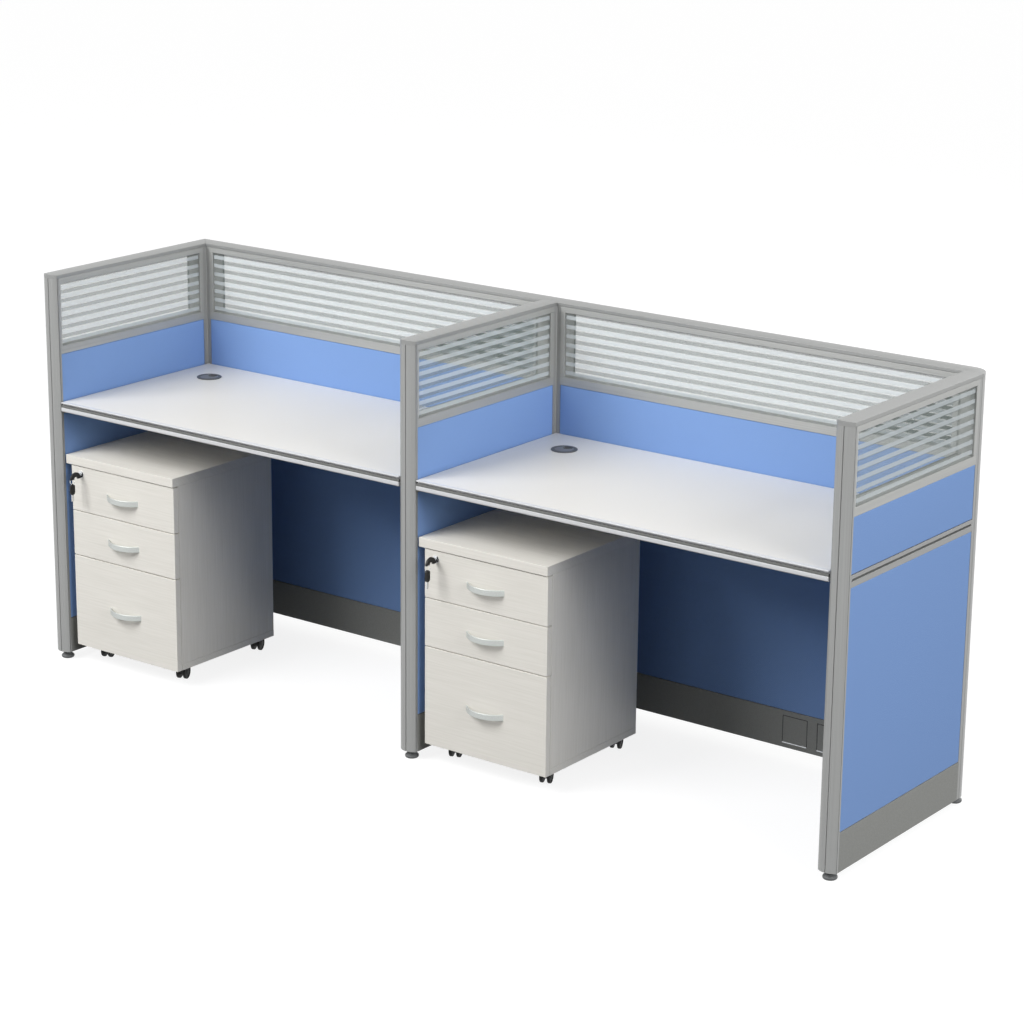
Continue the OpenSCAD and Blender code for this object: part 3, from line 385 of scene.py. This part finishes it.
# Runs a node tree on points and gives the plain mesh; each input is set by its socket's identifier
def meshFromTree(tree, values, points=()):
    start = bpy.data.meshes.new(tree.name)
    start.from_pydata(list(points), [], [])
    holder = bpy.data.objects.new(tree.name, start)
    bpy.context.scene.collection.objects.link(holder)
    modifier = holder.modifiers.new(tree.name, "NODES")
    modifier.node_group = tree
    for item in tree.interface.items_tree:
        if item.in_out == "INPUT" and item.name in values:
            modifier[item.identifier] = values[item.name]
    made = bpy.data.meshes.new_from_object(holder.evaluated_get(bpy.context.evaluated_depsgraph_get()))
    bpy.data.objects.remove(holder)
    bpy.data.meshes.remove(start)
    return made


def startTree(name, **sockets):
    tree = bpy.data.node_groups.new(name, "GeometryNodeTree")
    tree.is_modifier = True
    tree.interface.new_socket("Geometry", in_out="INPUT", socket_type="NodeSocketGeometry")
    for label, kind in sockets.items():
        tree.interface.new_socket(label, in_out="INPUT", socket_type="NodeSocket" + kind)
    tree.interface.new_socket("Geometry", in_out="OUTPUT", socket_type="NodeSocketGeometry")
    return tree, addNode(tree, "NodeGroupInput").outputs


# Ends a tree: real geometry with its material
def endTree(tree, geometry, material):
    real = addNode(tree, "GeometryNodeRealizeInstances", {"Geometry": geometry})
    painted = addNode(tree, "GeometryNodeSetMaterial", {"Geometry": real.outputs[0], "Material": material})
    addNode(tree, "NodeGroupOutput", {"Geometry": painted.outputs[0]})


# Aluminium profiles and plain hard pieces of the screens and desks
profiles = {
    "front_end_trims": (0.7 * mm, profileAluminium, "aluminium_profile"),
    "corner_posts": (0.7 * mm, profileAluminium, "aluminium_profile"),
    "top_caps": (0.55 * mm, paintedShadeAluminium, "aluminium_profile"),
    "slot_rails": (0.5 * mm, paintedShadeAluminium, "aluminium_profile"),
    "screen_frames": (0.7 * mm, paintedLightAluminium, "frame_aluminium"),
    "kick_plates": (0.6 * mm, powderCoat, "kick_plate_metal"),
    "desktops": (0.8 * mm, whiteMelamine, "desk_laminate"),
    "desk_edge_trims": (0.9 * mm, edgePvc, "desk_edge_plastic"),
    "desk_edge_inserts": (1.0 * mm, insertPvc, "edge_insert_plastic"),
    "desk_support_angles": (0.6 * mm, blackPowderCoatAndCutShade, "black_painted_steel"),
}
for nodeName, (width, material, slotName) in profiles.items():
    easedPiece(nodeName, width, material, slotName, 3 if nodeName == "desk_edge_trims" else 2)

# Socket knock-outs: black boxes sunk in the cut round each one are painted shade for the dark raceway behind
# it, and a bare zinc strip along its lower edge catches the light
knockOut = {"lefts": (-491 * mm, -388 * mm, 759 * mm, 862 * mm), "bottom": 48.5 * mm, "side": 75 * mm,
            "cut": 2.4 * mm, "face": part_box("corner_posts")[1].y - screenDepth, "sunk": 0.3 * mm,
            "deep": 1.1 * mm, "lip": 0.4 * mm}


def addBox(work, low, high, materialIndex=0):
    size = Vector(high) - Vector(low)
    made = bmesh.ops.create_cube(work, size=1.0, matrix=Matrix.LocRotScale(
        (Vector(high) + Vector(low)) / 2, None, size))
    for face in {face for vert in made["verts"] for face in vert.link_faces}:
        face.material_index = materialIndex


cuts = bmesh.new()
for left in knockOut["lefts"]:
    right, bottom = left + knockOut["side"], knockOut["bottom"]
    top, width = bottom + knockOut["side"], knockOut["cut"]
    near, far = knockOut["face"] + knockOut["sunk"], knockOut["face"] + knockOut["deep"]
    addBox(cuts, (left, near, top - width), (right, far, top))
    for x in (left, right - width):
        addBox(cuts, (x, near, bottom + width), (x + width, far, top - width))
    addBox(cuts, (left + width / 2, knockOut["face"] - knockOut["lip"], bottom),
           (right - width / 2, far, bottom + width), 1)
finishPiece("knockOutCutShadeAndEdges", cuts, [blackPowderCoatAndCutShade, zincSteel], "kick_plate_metal", "root")
print("profiles, plates and desks made")


def screenSide(low, high):
    # which way a tile or pane faces, as the turn about Z that brings -Y there
    size, middle = high - low, (low + high) / 2
    if size.x > size.y:
        return 0.0 if middle.y < backScreenY else math.pi
    screenX = min(screenXs, key=lambda x: abs(x - middle.x))
    return math.pi / 2 if middle.x > screenX else -math.pi / 2


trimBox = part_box("front_end_trims")
screenXs = [trimBox[0].x + screenDepth / 2, 0.0, trimBox[1].x - screenDepth / 2]
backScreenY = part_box("top_caps")[1].y - screenDepth / 2

# Fabric tiles: cloth drawn over a board, a little fuller in the middle, with soft edges
tile = {"crown": 0.9 * mm, "columns": 25, "rows": 13, "edge": 2.4 * mm, "edgeSegments": 3,
        "edgeFrom": math.radians(60)}
tree, inputs = startTree("fabricTile", Size="Vector", Centre="Vector", Turn="Float", Crown="Float",
                         Material="Material")
slab = addNode(tree, "GeometryNodeMeshCube", {"Size": inputs["Size"], "Vertices X": tile["columns"],
                                               "Vertices Z": tile["rows"]})
position = addNode(tree, "GeometryNodeInputPosition")
place = addNode(tree, "ShaderNodeSeparateXYZ", {"Vector": position.outputs[0]})
size = addNode(tree, "ShaderNodeSeparateXYZ", {"Vector": inputs["Size"]})
fullness = []
for axis in "XZ":
    share = addNode(tree, "ShaderNodeMath", {0: place.outputs[axis], 1: size.outputs[axis]},
                    operation="DIVIDE")
    square = addNode(tree, "ShaderNodeMath", {0: share.outputs[0], 1: share.outputs[0]}, operation="MULTIPLY")
    fullness.append(addNode(tree, "ShaderNodeMath", {0: square.outputs[0], 1: -4.0, 2: 1.0},
                            operation="MULTIPLY_ADD").outputs[0])  # 1 in the middle, 0 at the edge
full = addNode(tree, "ShaderNodeMath", {0: fullness[0], 1: fullness[1]}, operation="MULTIPLY")
sunk = addNode(tree, "ShaderNodeMath", {0: 1.0, 1: full.outputs[0]}, operation="SUBTRACT")
depth = addNode(tree, "ShaderNodeMath", {0: sunk.outputs[0], 1: inputs["Crown"]}, operation="MULTIPLY")
outer = addNode(tree, "FunctionNodeCompare", {"A": place.outputs["Y"], "B": 0.0}, operation="LESS_THAN")
crowned = addNode(tree, "GeometryNodeSetPosition", {
    "Geometry": slab.outputs["Mesh"], "Selection": outer.outputs[0],
    "Offset": addNode(tree, "ShaderNodeCombineXYZ", {"Y": depth.outputs[0]}).outputs[0]})
turn = addNode(tree, "ShaderNodeCombineXYZ", {"Z": inputs["Turn"]})
placed = addNode(tree, "GeometryNodeTransform", {
    "Geometry": crowned.outputs[0], "Translation": inputs["Centre"], "Rotation": turn.outputs[0]})
endTree(tree, placed.outputs[0], inputs["Material"])

tiles = bmesh.new()
cadTiles = mergedCopy("fabric_tiles")
for solid in solidsOf(cadTiles):
    low, high = boxOf([vert.co for vert in solid])
    span = high - low
    values = {"Size": (max(span.x, span.y), min(span.x, span.y), span.z), "Centre": tuple((low + high) / 2),
              "Turn": screenSide(low, high), "Crown": tile["crown"], "Material": panelFabric}
    tiles.from_mesh(meshFromTree(tree, values))
cadTiles.free()
easeEdges(tiles, tile["edge"], tile["edgeSegments"], tile["edgeFrom"])
finishPiece("fabricTiles", tiles, panelFabric, "blue_fabric", "root", "fabric_tiles", sharpFrom=70)
print("fabric tiles made")

# Glass: two panes a screen, with frosted stripes on the outside of each, and a gasket round each pane.
# filmOff and gasketOff say how far their middles stand off the pane, in film thicknesses and gasket radii.
glazing = {"stripes": 7, "stripeShare": 0.42, "filmThickness": 0.12 * mm, "filmInset": 1.8 * mm,
           "filmOff": 0.8, "gasketRadius": 0.9 * mm, "gasketSides": 8, "gasketOff": 0.9, "paneEdge": 0.5 * mm}
stripeTree, inputs = startTree("frostedStripes", Size="Vector", Start="Vector", Step="Float", Count="Int",
                               Material="Material")
step = addNode(stripeTree, "ShaderNodeCombineXYZ", {"Z": inputs["Step"]})
line = addNode(stripeTree, "GeometryNodeMeshLine", {
    "Count": inputs["Count"], "Start Location": inputs["Start"], "Offset": step.outputs[0]})
stripe = addNode(stripeTree, "GeometryNodeMeshCube", {"Size": inputs["Size"]})
stripes = addNode(stripeTree, "GeometryNodeInstanceOnPoints", {"Points": line.outputs["Mesh"],
                                                               "Instance": stripe.outputs["Mesh"]})
endTree(stripeTree, stripes.outputs[0], inputs["Material"])

gasketTree, inputs = startTree("glazingGasket", Width="Float", Height="Float", Radius="Float",
                               Centre="Vector", Turn="Float", Material="Material")
outline = addNode(gasketTree, "GeometryNodeCurvePrimitiveQuadrilateral", {"Width": inputs["Width"],
                                                                          "Height": inputs["Height"]})
section = addNode(gasketTree, "GeometryNodeCurvePrimitiveCircle", {"Resolution": glazing["gasketSides"],
                                                                   "Radius": inputs["Radius"]})
tube = addNode(gasketTree, "GeometryNodeCurveToMesh", {"Curve": outline.outputs[0],
                                                       "Profile Curve": section.outputs[0]})
turn = addNode(gasketTree, "ShaderNodeCombineXYZ", {"X": math.pi / 2, "Z": inputs["Turn"]})
placed = addNode(gasketTree, "GeometryNodeTransform", {
    "Geometry": tube.outputs[0], "Translation": inputs["Centre"], "Rotation": turn.outputs[0]})
endTree(gasketTree, placed.outputs[0], inputs["Material"])

films, gaskets = bmesh.new(), bmesh.new()
panes = mergedCopy("glass_panes")
for solid in solidsOf(panes):
    low, high = boxOf([vert.co for vert in solid])
    middle, span, facing = (low + high) / 2, high - low, screenSide(low, high)
    outward = Vector((math.sin(facing), -math.cos(facing), 0.0))
    onSide = span.y > span.x
    paneFace = middle + outward * min(span.x, span.y) / 2
    radius = glazing["gasketRadius"]
    gaskets.from_mesh(meshFromTree(gasketTree, {
        "Width": max(span.x, span.y) - 2 * radius, "Height": span.z - 2 * radius, "Radius": radius,
        "Centre": tuple(paneFace + outward * radius * glazing["gasketOff"]), "Turn": facing,
        "Material": gasketRubber}))
    pitch = span.z / glazing["stripes"]
    height = pitch * glazing["stripeShare"]
    thickness = glazing["filmThickness"]
    filmLength = max(span.x, span.y) - 2 * glazing["filmInset"]
    filmSize = (thickness, filmLength, height) if onSide else (filmLength, thickness, height)
    start = paneFace + outward * thickness * glazing["filmOff"]
    start.z = low.z + pitch / 2
    films.from_mesh(meshFromTree(stripeTree, {"Size": filmSize, "Start": tuple(start), "Step": pitch,
                                              "Count": glazing["stripes"], "Material": frostedFilm}))
easeEdges(panes, glazing["paneEdge"], 1)
finishPiece("glassPanes", panes, clearGlass, "striped_glass", "root", "glass_panes")
finishPiece("frostedStripes", films, frostedFilm, "striped_glass", "root")
finishPiece("glazingGaskets", gaskets, gasketRubber, "frame_aluminium", "root", sharpFrom=80)
print("glass made")

# Pan-head screws under the desks, with a cross recess
screw = {"headRadius": 3.8 * mm, "crownRadius": 2.7 * mm, "headHeight": 2.2 * mm, "shankRadius": 2.0 * mm,
         "recessWidth": 0.9 * mm, "recessLength": 4.4 * mm, "recessDepth": 1.8 * mm, "headSides": 24,
         "shankSides": 16}
tree, inputs = startTree("panHeadScrews", HeadRadius="Float", CrownRadius="Float", HeadHeight="Float",
                         ShankRadius="Float", ShankLength="Float", Material="Material")
head = addNode(tree, "GeometryNodeMeshCone", {
    "Vertices": screw["headSides"], "Radius Top": inputs["HeadRadius"],
    "Radius Bottom": inputs["CrownRadius"], "Depth": inputs["HeadHeight"]})
cross = addNode(tree, "GeometryNodeJoinGeometry")
wide, long, deep = screw["recessWidth"], screw["recessLength"], screw["recessDepth"]
for size in ((wide, long, deep), (long, wide, deep)):
    arm = addNode(tree, "GeometryNodeMeshCube", {"Size": size})
    tree.links.new(arm.outputs["Mesh"], cross.inputs[0])
cutHead = addNode(tree, "GeometryNodeMeshBoolean", {"Mesh 1": head.outputs["Mesh"]}, operation="DIFFERENCE")
tree.links.new(cross.outputs[0], cutHead.inputs["Mesh 2"])
lift = addNode(tree, "ShaderNodeCombineXYZ", {"Z": inputs["HeadHeight"]})
shank = addNode(tree, "GeometryNodeMeshCylinder", {
    "Vertices": screw["shankSides"], "Radius": inputs["ShankRadius"], "Depth": inputs["ShankLength"]})
halfShank = addNode(tree, "ShaderNodeMath", {0: inputs["ShankLength"], 1: 0.5, 2: inputs["HeadHeight"]},
                    operation="MULTIPLY_ADD")
raised = addNode(tree, "GeometryNodeTransform", {
    "Geometry": shank.outputs["Mesh"],
    "Translation": addNode(tree, "ShaderNodeCombineXYZ", {"Z": halfShank.outputs[0]}).outputs[0]})
whole = addNode(tree, "GeometryNodeJoinGeometry")
tree.links.new(raised.outputs[0], whole.inputs[0])
tree.links.new(cutHead.outputs[0], whole.inputs[0])
placed = addNode(tree, "GeometryNodeInstanceOnPoints", {"Points": inputs["Geometry"],
                                                        "Instance": whole.outputs[0]})
endTree(tree, placed.outputs[0], inputs["Material"])

cadScrews = mergedCopy("desk_screws")
places, shankLength = [], 0.0
for solid in solidsOf(cadScrews):
    low, high = boxOf([vert.co for vert in solid])
    places.append(((low.x + high.x) / 2, (low.y + high.y) / 2, low.z))
    shankLength = high.z - low.z - screw["headHeight"]
cadScrews.free()
screws = bmesh.new()
screws.from_mesh(meshFromTree(tree, {"HeadRadius": screw["headRadius"], "CrownRadius": screw["crownRadius"],
                                     "HeadHeight": screw["headHeight"], "ShankRadius": screw["shankRadius"],
                                     "ShankLength": shankLength, "Material": zincSteel}, places))
finishPiece("deskScrews", screws, zincSteel, "zinc_plated_steel", "root", "desk_screws")

# Cable grommets and levelling feet
moulded = {"grommet_rings": (0.8 * mm, grommetPlastic, "grommet_plastic"),
           "left_grommet_cap": (0.7 * mm, grommetCapPlastic, "grommet_plastic"),
           "right_grommet_cap": (0.7 * mm, grommetCapPlastic, "grommet_plastic")}
for end in ("front", "back"):
    for side in ("left", "middle", "right"):
        moulded[f"foot_{end}_{side}"] = (0.4 * mm, footNylon, "foot_plastic")
for nodeName, (width, material, slotName) in moulded.items():
    easedPiece(nodeName, width, material, slotName)
print("screws, grommets and feet made")


# Pedestals: boardUnder and uprightOver tell the upright boards from the others
pedestal = {"boardEdge": 0.9 * mm, "handleEdge": 0.8 * mm, "lockEdge": 0.4 * mm, "castorEdge": 0.5 * mm,
            "runnerEdge": 0.4 * mm, "keyEdge": 0.6 * mm, "boardUnder": 20 * mm, "uprightOver": 300 * mm,
            "castorTurn": math.radians(110), "wheelSides": 48, "axleSides": 16, "bladeClear": 2.5 * mm,
            "spareBlade": 17.5 * mm, "ringOuterRadius": 8.9 * mm, "ringMiddleRadius": 8.0 * mm,
            "ringReach": 1.1 * mm}


# The grain runs up the side and back boards and across every other board
def boardGrain(size):
    return 2 if size.z > pedestal["uprightOver"] and min(size.x, size.y) < pedestal["boardUnder"] else 0


def drawerGrain(size):
    return 1 if size.x < pedestal["boardUnder"] else 0


# A closed turned shape on an axis, from its outline of radius and distance along the axis
def turnedShape(work, outline, segments, placement):
    rings = []
    for radius, height in outline:
        angles = [2 * math.pi * k / segments for k in range(segments if radius > 0 else 1)]
        rings.append([work.verts.new(placement @ Vector(
            (radius * math.cos(angle), radius * math.sin(angle), height))) for angle in angles])
    for lower, upper in zip(rings, rings[1:]):
        for k in range(segments):
            corners = [lower[k % len(lower)], lower[(k + 1) % len(lower)],
                       upper[(k + 1) % len(upper)], upper[k % len(upper)]]
            work.faces.new(list(dict.fromkeys(corners)))


# Section of one twin-wheel half in mm, from its inner to its outer face, with a dished side and a hub cap
wheelOutline = [(0, 6.1), (18.4, 6.1), (19.3, 6.35), (19.8, 6.9), (20, 7.8), (20, 12.4), (19.8, 13.3),
                (19.3, 13.85), (18.4, 14.1), (17.0, 14.1), (16.5, 13.85), (16.2, 13.2), (15.9, 12.7),
                (8.0, 12.4), (7.5, 12.8), (7.1, 13.5), (6.2, 13.9), (3.0, 14.05), (0, 14.1)]
axleOutline = [(0, -6.1), (2.95, -6.1), (2.95, 6.1), (0, 6.1)]

for side in ("left", "right"):
    easedPiece(f"{side}_pedestal_carcass", pedestal["boardEdge"], ashLaminate, "ash_laminate",
               alongOf=boardGrain)
    easedPiece(f"{side}_drawer_runners", pedestal["runnerEdge"], runnerSteel, "runner_steel")
    for level in ("file", "middle", "top"):
        easedPiece(f"{side}_{level}_drawer", pedestal["boardEdge"], ashLaminate, "ash_laminate",
                   alongOf=drawerGrain)
        easedPiece(f"{side}_{level}_handle", pedestal["handleEdge"], satinNickel, "handle_metal")
    easedPiece(f"{side}_lock_barrel", pedestal["lockEdge"], polishedChrome, "lock_chrome", 3)
    # plug, blades and ring are metal, the bows are plastic
    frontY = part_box(f"{side}_top_drawer")[0].y
    low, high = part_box(f"{side}_spare_key")
    ring = Vector(((low.x + high.x) / 2, (low.y + high.y) / 2, high.z - pedestal["ringOuterRadius"]))
    easedPiece(f"{side}_key_and_plug", pedestal["keyEdge"], [keyPlastic, polishedChrome], "black_plastic",
               paintOf=lambda centre: centre.y > frontY - pedestal["bladeClear"])
    easedPiece(f"{side}_spare_key", pedestal["keyEdge"], [keyPlastic, polishedChrome], "black_plastic",
               paintOf=lambda centre: centre.z < low.z + pedestal["spareBlade"]
               or abs((centre - ring).xz.length - pedestal["ringMiddleRadius"])
               < pedestal["ringReach"] and abs(centre.y - ring.y) < pedestal["ringReach"])
    for number in range(1, 5):
        easedPiece(f"{side}_castor_fork_{number}", pedestal["castorEdge"], castorNylon, "castor_nylon")
        wheelNode = f"{side}_castor_wheels_{number}"
        low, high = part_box(wheelNode)
        wheels = bmesh.new()
        upright = Matrix.Translation((low + high) / 2) @ Matrix.Rotation(pedestal["castorTurn"], 4, "Z")
        for half in (-1, 1):
            axis = upright @ Matrix.Rotation(half * math.pi / 2, 4, "X")
            turnedShape(wheels, [(r * mm, h * mm) for r, h in wheelOutline], pedestal["wheelSides"], axis)
        turnedShape(wheels, [(r * mm, h * mm) for r, h in axleOutline], pedestal["axleSides"],
                    upright @ Matrix.Rotation(math.pi / 2, 4, "X"))
        bmesh.ops.recalc_face_normals(wheels, faces=wheels.faces)
        layLengthMap(wheels)
        finishPiece(camelName(wheelNode), wheels, castorNylon, "castor_nylon",
                    nodes[wheelNode]["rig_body"], wheelNode)
print("pedestals made")

# Floor, light and camera
studio = {"floorSize": 60.0, "floorLevel": -0.2 * mm, "floorGlow": 0.85, "floorSeen": "7C7C7C",
          "floorUnseen": "222222", "horizon": 0.33, "zenith": 0.42, "zenithFrom": 0.9}
# each lamp's place, target and size in metres, and its power in watts
lamps = {"keyLamp": ((-2.8, -4.8, 5.1), (0, 0, 0.4), 4.0, 450.0),
         "fillLamp": ((5.8, -1.2, 3.4), (0, 0, 0.5), 3.2, 225.0),
         "backLamp": ((1.5, 6.5, 2.8), (0, 0, 0.5), 5.0, 200.0)}


# 1 for what the camera sees, also in a mirror or through glass, and 0 for the light on the object
def seenRays(tree):
    path = addNode(tree, "ShaderNodeLightPath")
    mirrored = addNode(tree, "ShaderNodeMath", {
        0: path.outputs["Is Camera Ray"], 1: path.outputs["Is Glossy Ray"]}, operation="ADD")
    return addNode(tree, "ShaderNodeMath", {
        0: mirrored.outputs[0], 1: path.outputs["Is Transmission Ray"]}, operation="ADD",
        use_clamp=True).outputs[0]


floorMesh = bpy.data.meshes.new("studioFloor")
half = studio["floorSize"] / 2
floorMesh.from_pydata([(x, y, studio["floorLevel"]) for x, y in (
    (-half, -half), (half, -half), (half, half), (-half, half))], [], [(0, 1, 2, 3)])
floor = bpy.data.objects.new("studioFloor", floorMesh)
bpy.context.scene.collection.objects.link(floor)
floorPaint, tree, shader = startMaterial("studioFloorPale", studio["floorSeen"], 0.9)
seen = seenRays(tree)
# pale to the camera, dark to the light that would bounce up from it
paint = addNode(tree, "ShaderNodeMix", {"Factor": seen, "A": toLinear(studio["floorUnseen"]),
                                        "B": toLinear(studio["floorSeen"])}, data_type="RGBA")
tree.links.new(paint.outputs["Result"], shader.inputs["Base Color"])
strength = addNode(tree, "ShaderNodeMath", {0: seen, 1: studio["floorGlow"]}, operation="MULTIPLY")
glow = addNode(tree, "ShaderNodeEmission", {"Color": (1, 1, 1, 1), "Strength": strength.outputs[0]})
lit = addNode(tree, "ShaderNodeAddShader", {0: shader.outputs[0], 1: glow.outputs[0]})
for node in tree.nodes:
    if node.bl_idname == "ShaderNodeOutputMaterial":
        tree.links.new(lit.outputs[0], node.inputs["Surface"])
floorMesh.materials.append(floorPaint)

world = bpy.data.worlds.new("studioWorld")
bpy.context.scene.world = world
world.use_nodes = True
tree = world.node_tree
tree.nodes.clear()
# the light that falls on the object grows from the horizon to the zenith
place = addNode(tree, "ShaderNodeTexCoord")
skyward = addNode(tree, "ShaderNodeSeparateXYZ", {"Vector": place.outputs["Generated"]})
rising = addNode(tree, "ShaderNodeMapRange", {
    "Value": skyward.outputs["Z"], "From Min": 0.0, "From Max": studio["zenithFrom"],
    "To Min": studio["horizon"], "To Max": studio["zenith"]})
dim = addNode(tree, "ShaderNodeBackground", {"Color": (1, 1, 1, 1), "Strength": rising.outputs["Result"]})
white = addNode(tree, "ShaderNodeBackground", {"Color": (1, 1, 1, 1), "Strength": 1.0})
sky = addNode(tree, "ShaderNodeMixShader", {0: seenRays(tree), 1: dim.outputs[0], 2: white.outputs[0]})
addNode(tree, "ShaderNodeOutputWorld", {"Surface": sky.outputs[0]})


def areaLamp(name, place, target, size, power):
    lamp = bpy.data.lights.new(name, "AREA")
    lamp.shape, lamp.size, lamp.energy = "SQUARE", size, power
    holder = bpy.data.objects.new(name, lamp)
    bpy.context.scene.collection.objects.link(holder)
    holder.matrix_world = Matrix.Translation(place) @ (Vector(target) - Vector(place)).to_track_quat(
        "-Z", "Y").to_matrix().to_4x4()


for lampName, (place, target, size, power) in lamps.items():
    areaLamp(lampName, place, target, size, power)

# The camera as fitted to the photo, whose frame is 1024 x 1024
view = {"place": (4.3422, -5.6604, 2.6981), "azimuth": 36.8577, "elevation": 16.445, "roll": 0.5567,
        "lens": 100.65}
azimuth, elevation, roll = (math.radians(view[key]) for key in ("azimuth", "elevation", "roll"))
back = Vector((math.sin(azimuth) * math.cos(elevation), -math.cos(azimuth) * math.cos(elevation),
               math.sin(elevation)))
level = (-back).cross(Vector((0, 0, 1))).normalized()
upright = level.cross(-back)
right = math.cos(roll) * level + math.sin(roll) * upright
up = math.cos(roll) * upright - math.sin(roll) * level
cameraData = bpy.data.cameras.new("photoCamera")
cameraData.sensor_width, cameraData.lens = 36.0, view["lens"]
cameraData.clip_start, cameraData.clip_end = 0.1, 200.0
camera = bpy.data.objects.new("photoCamera", cameraData)
bpy.context.scene.collection.objects.link(camera)
camera.matrix_world = Matrix.Translation(view["place"]) @ Matrix((right, up, back)).transposed().to_4x4()
bpy.context.scene.camera = camera
bpy.context.scene.view_settings.view_transform = "Standard"
print("floor, light and camera set")
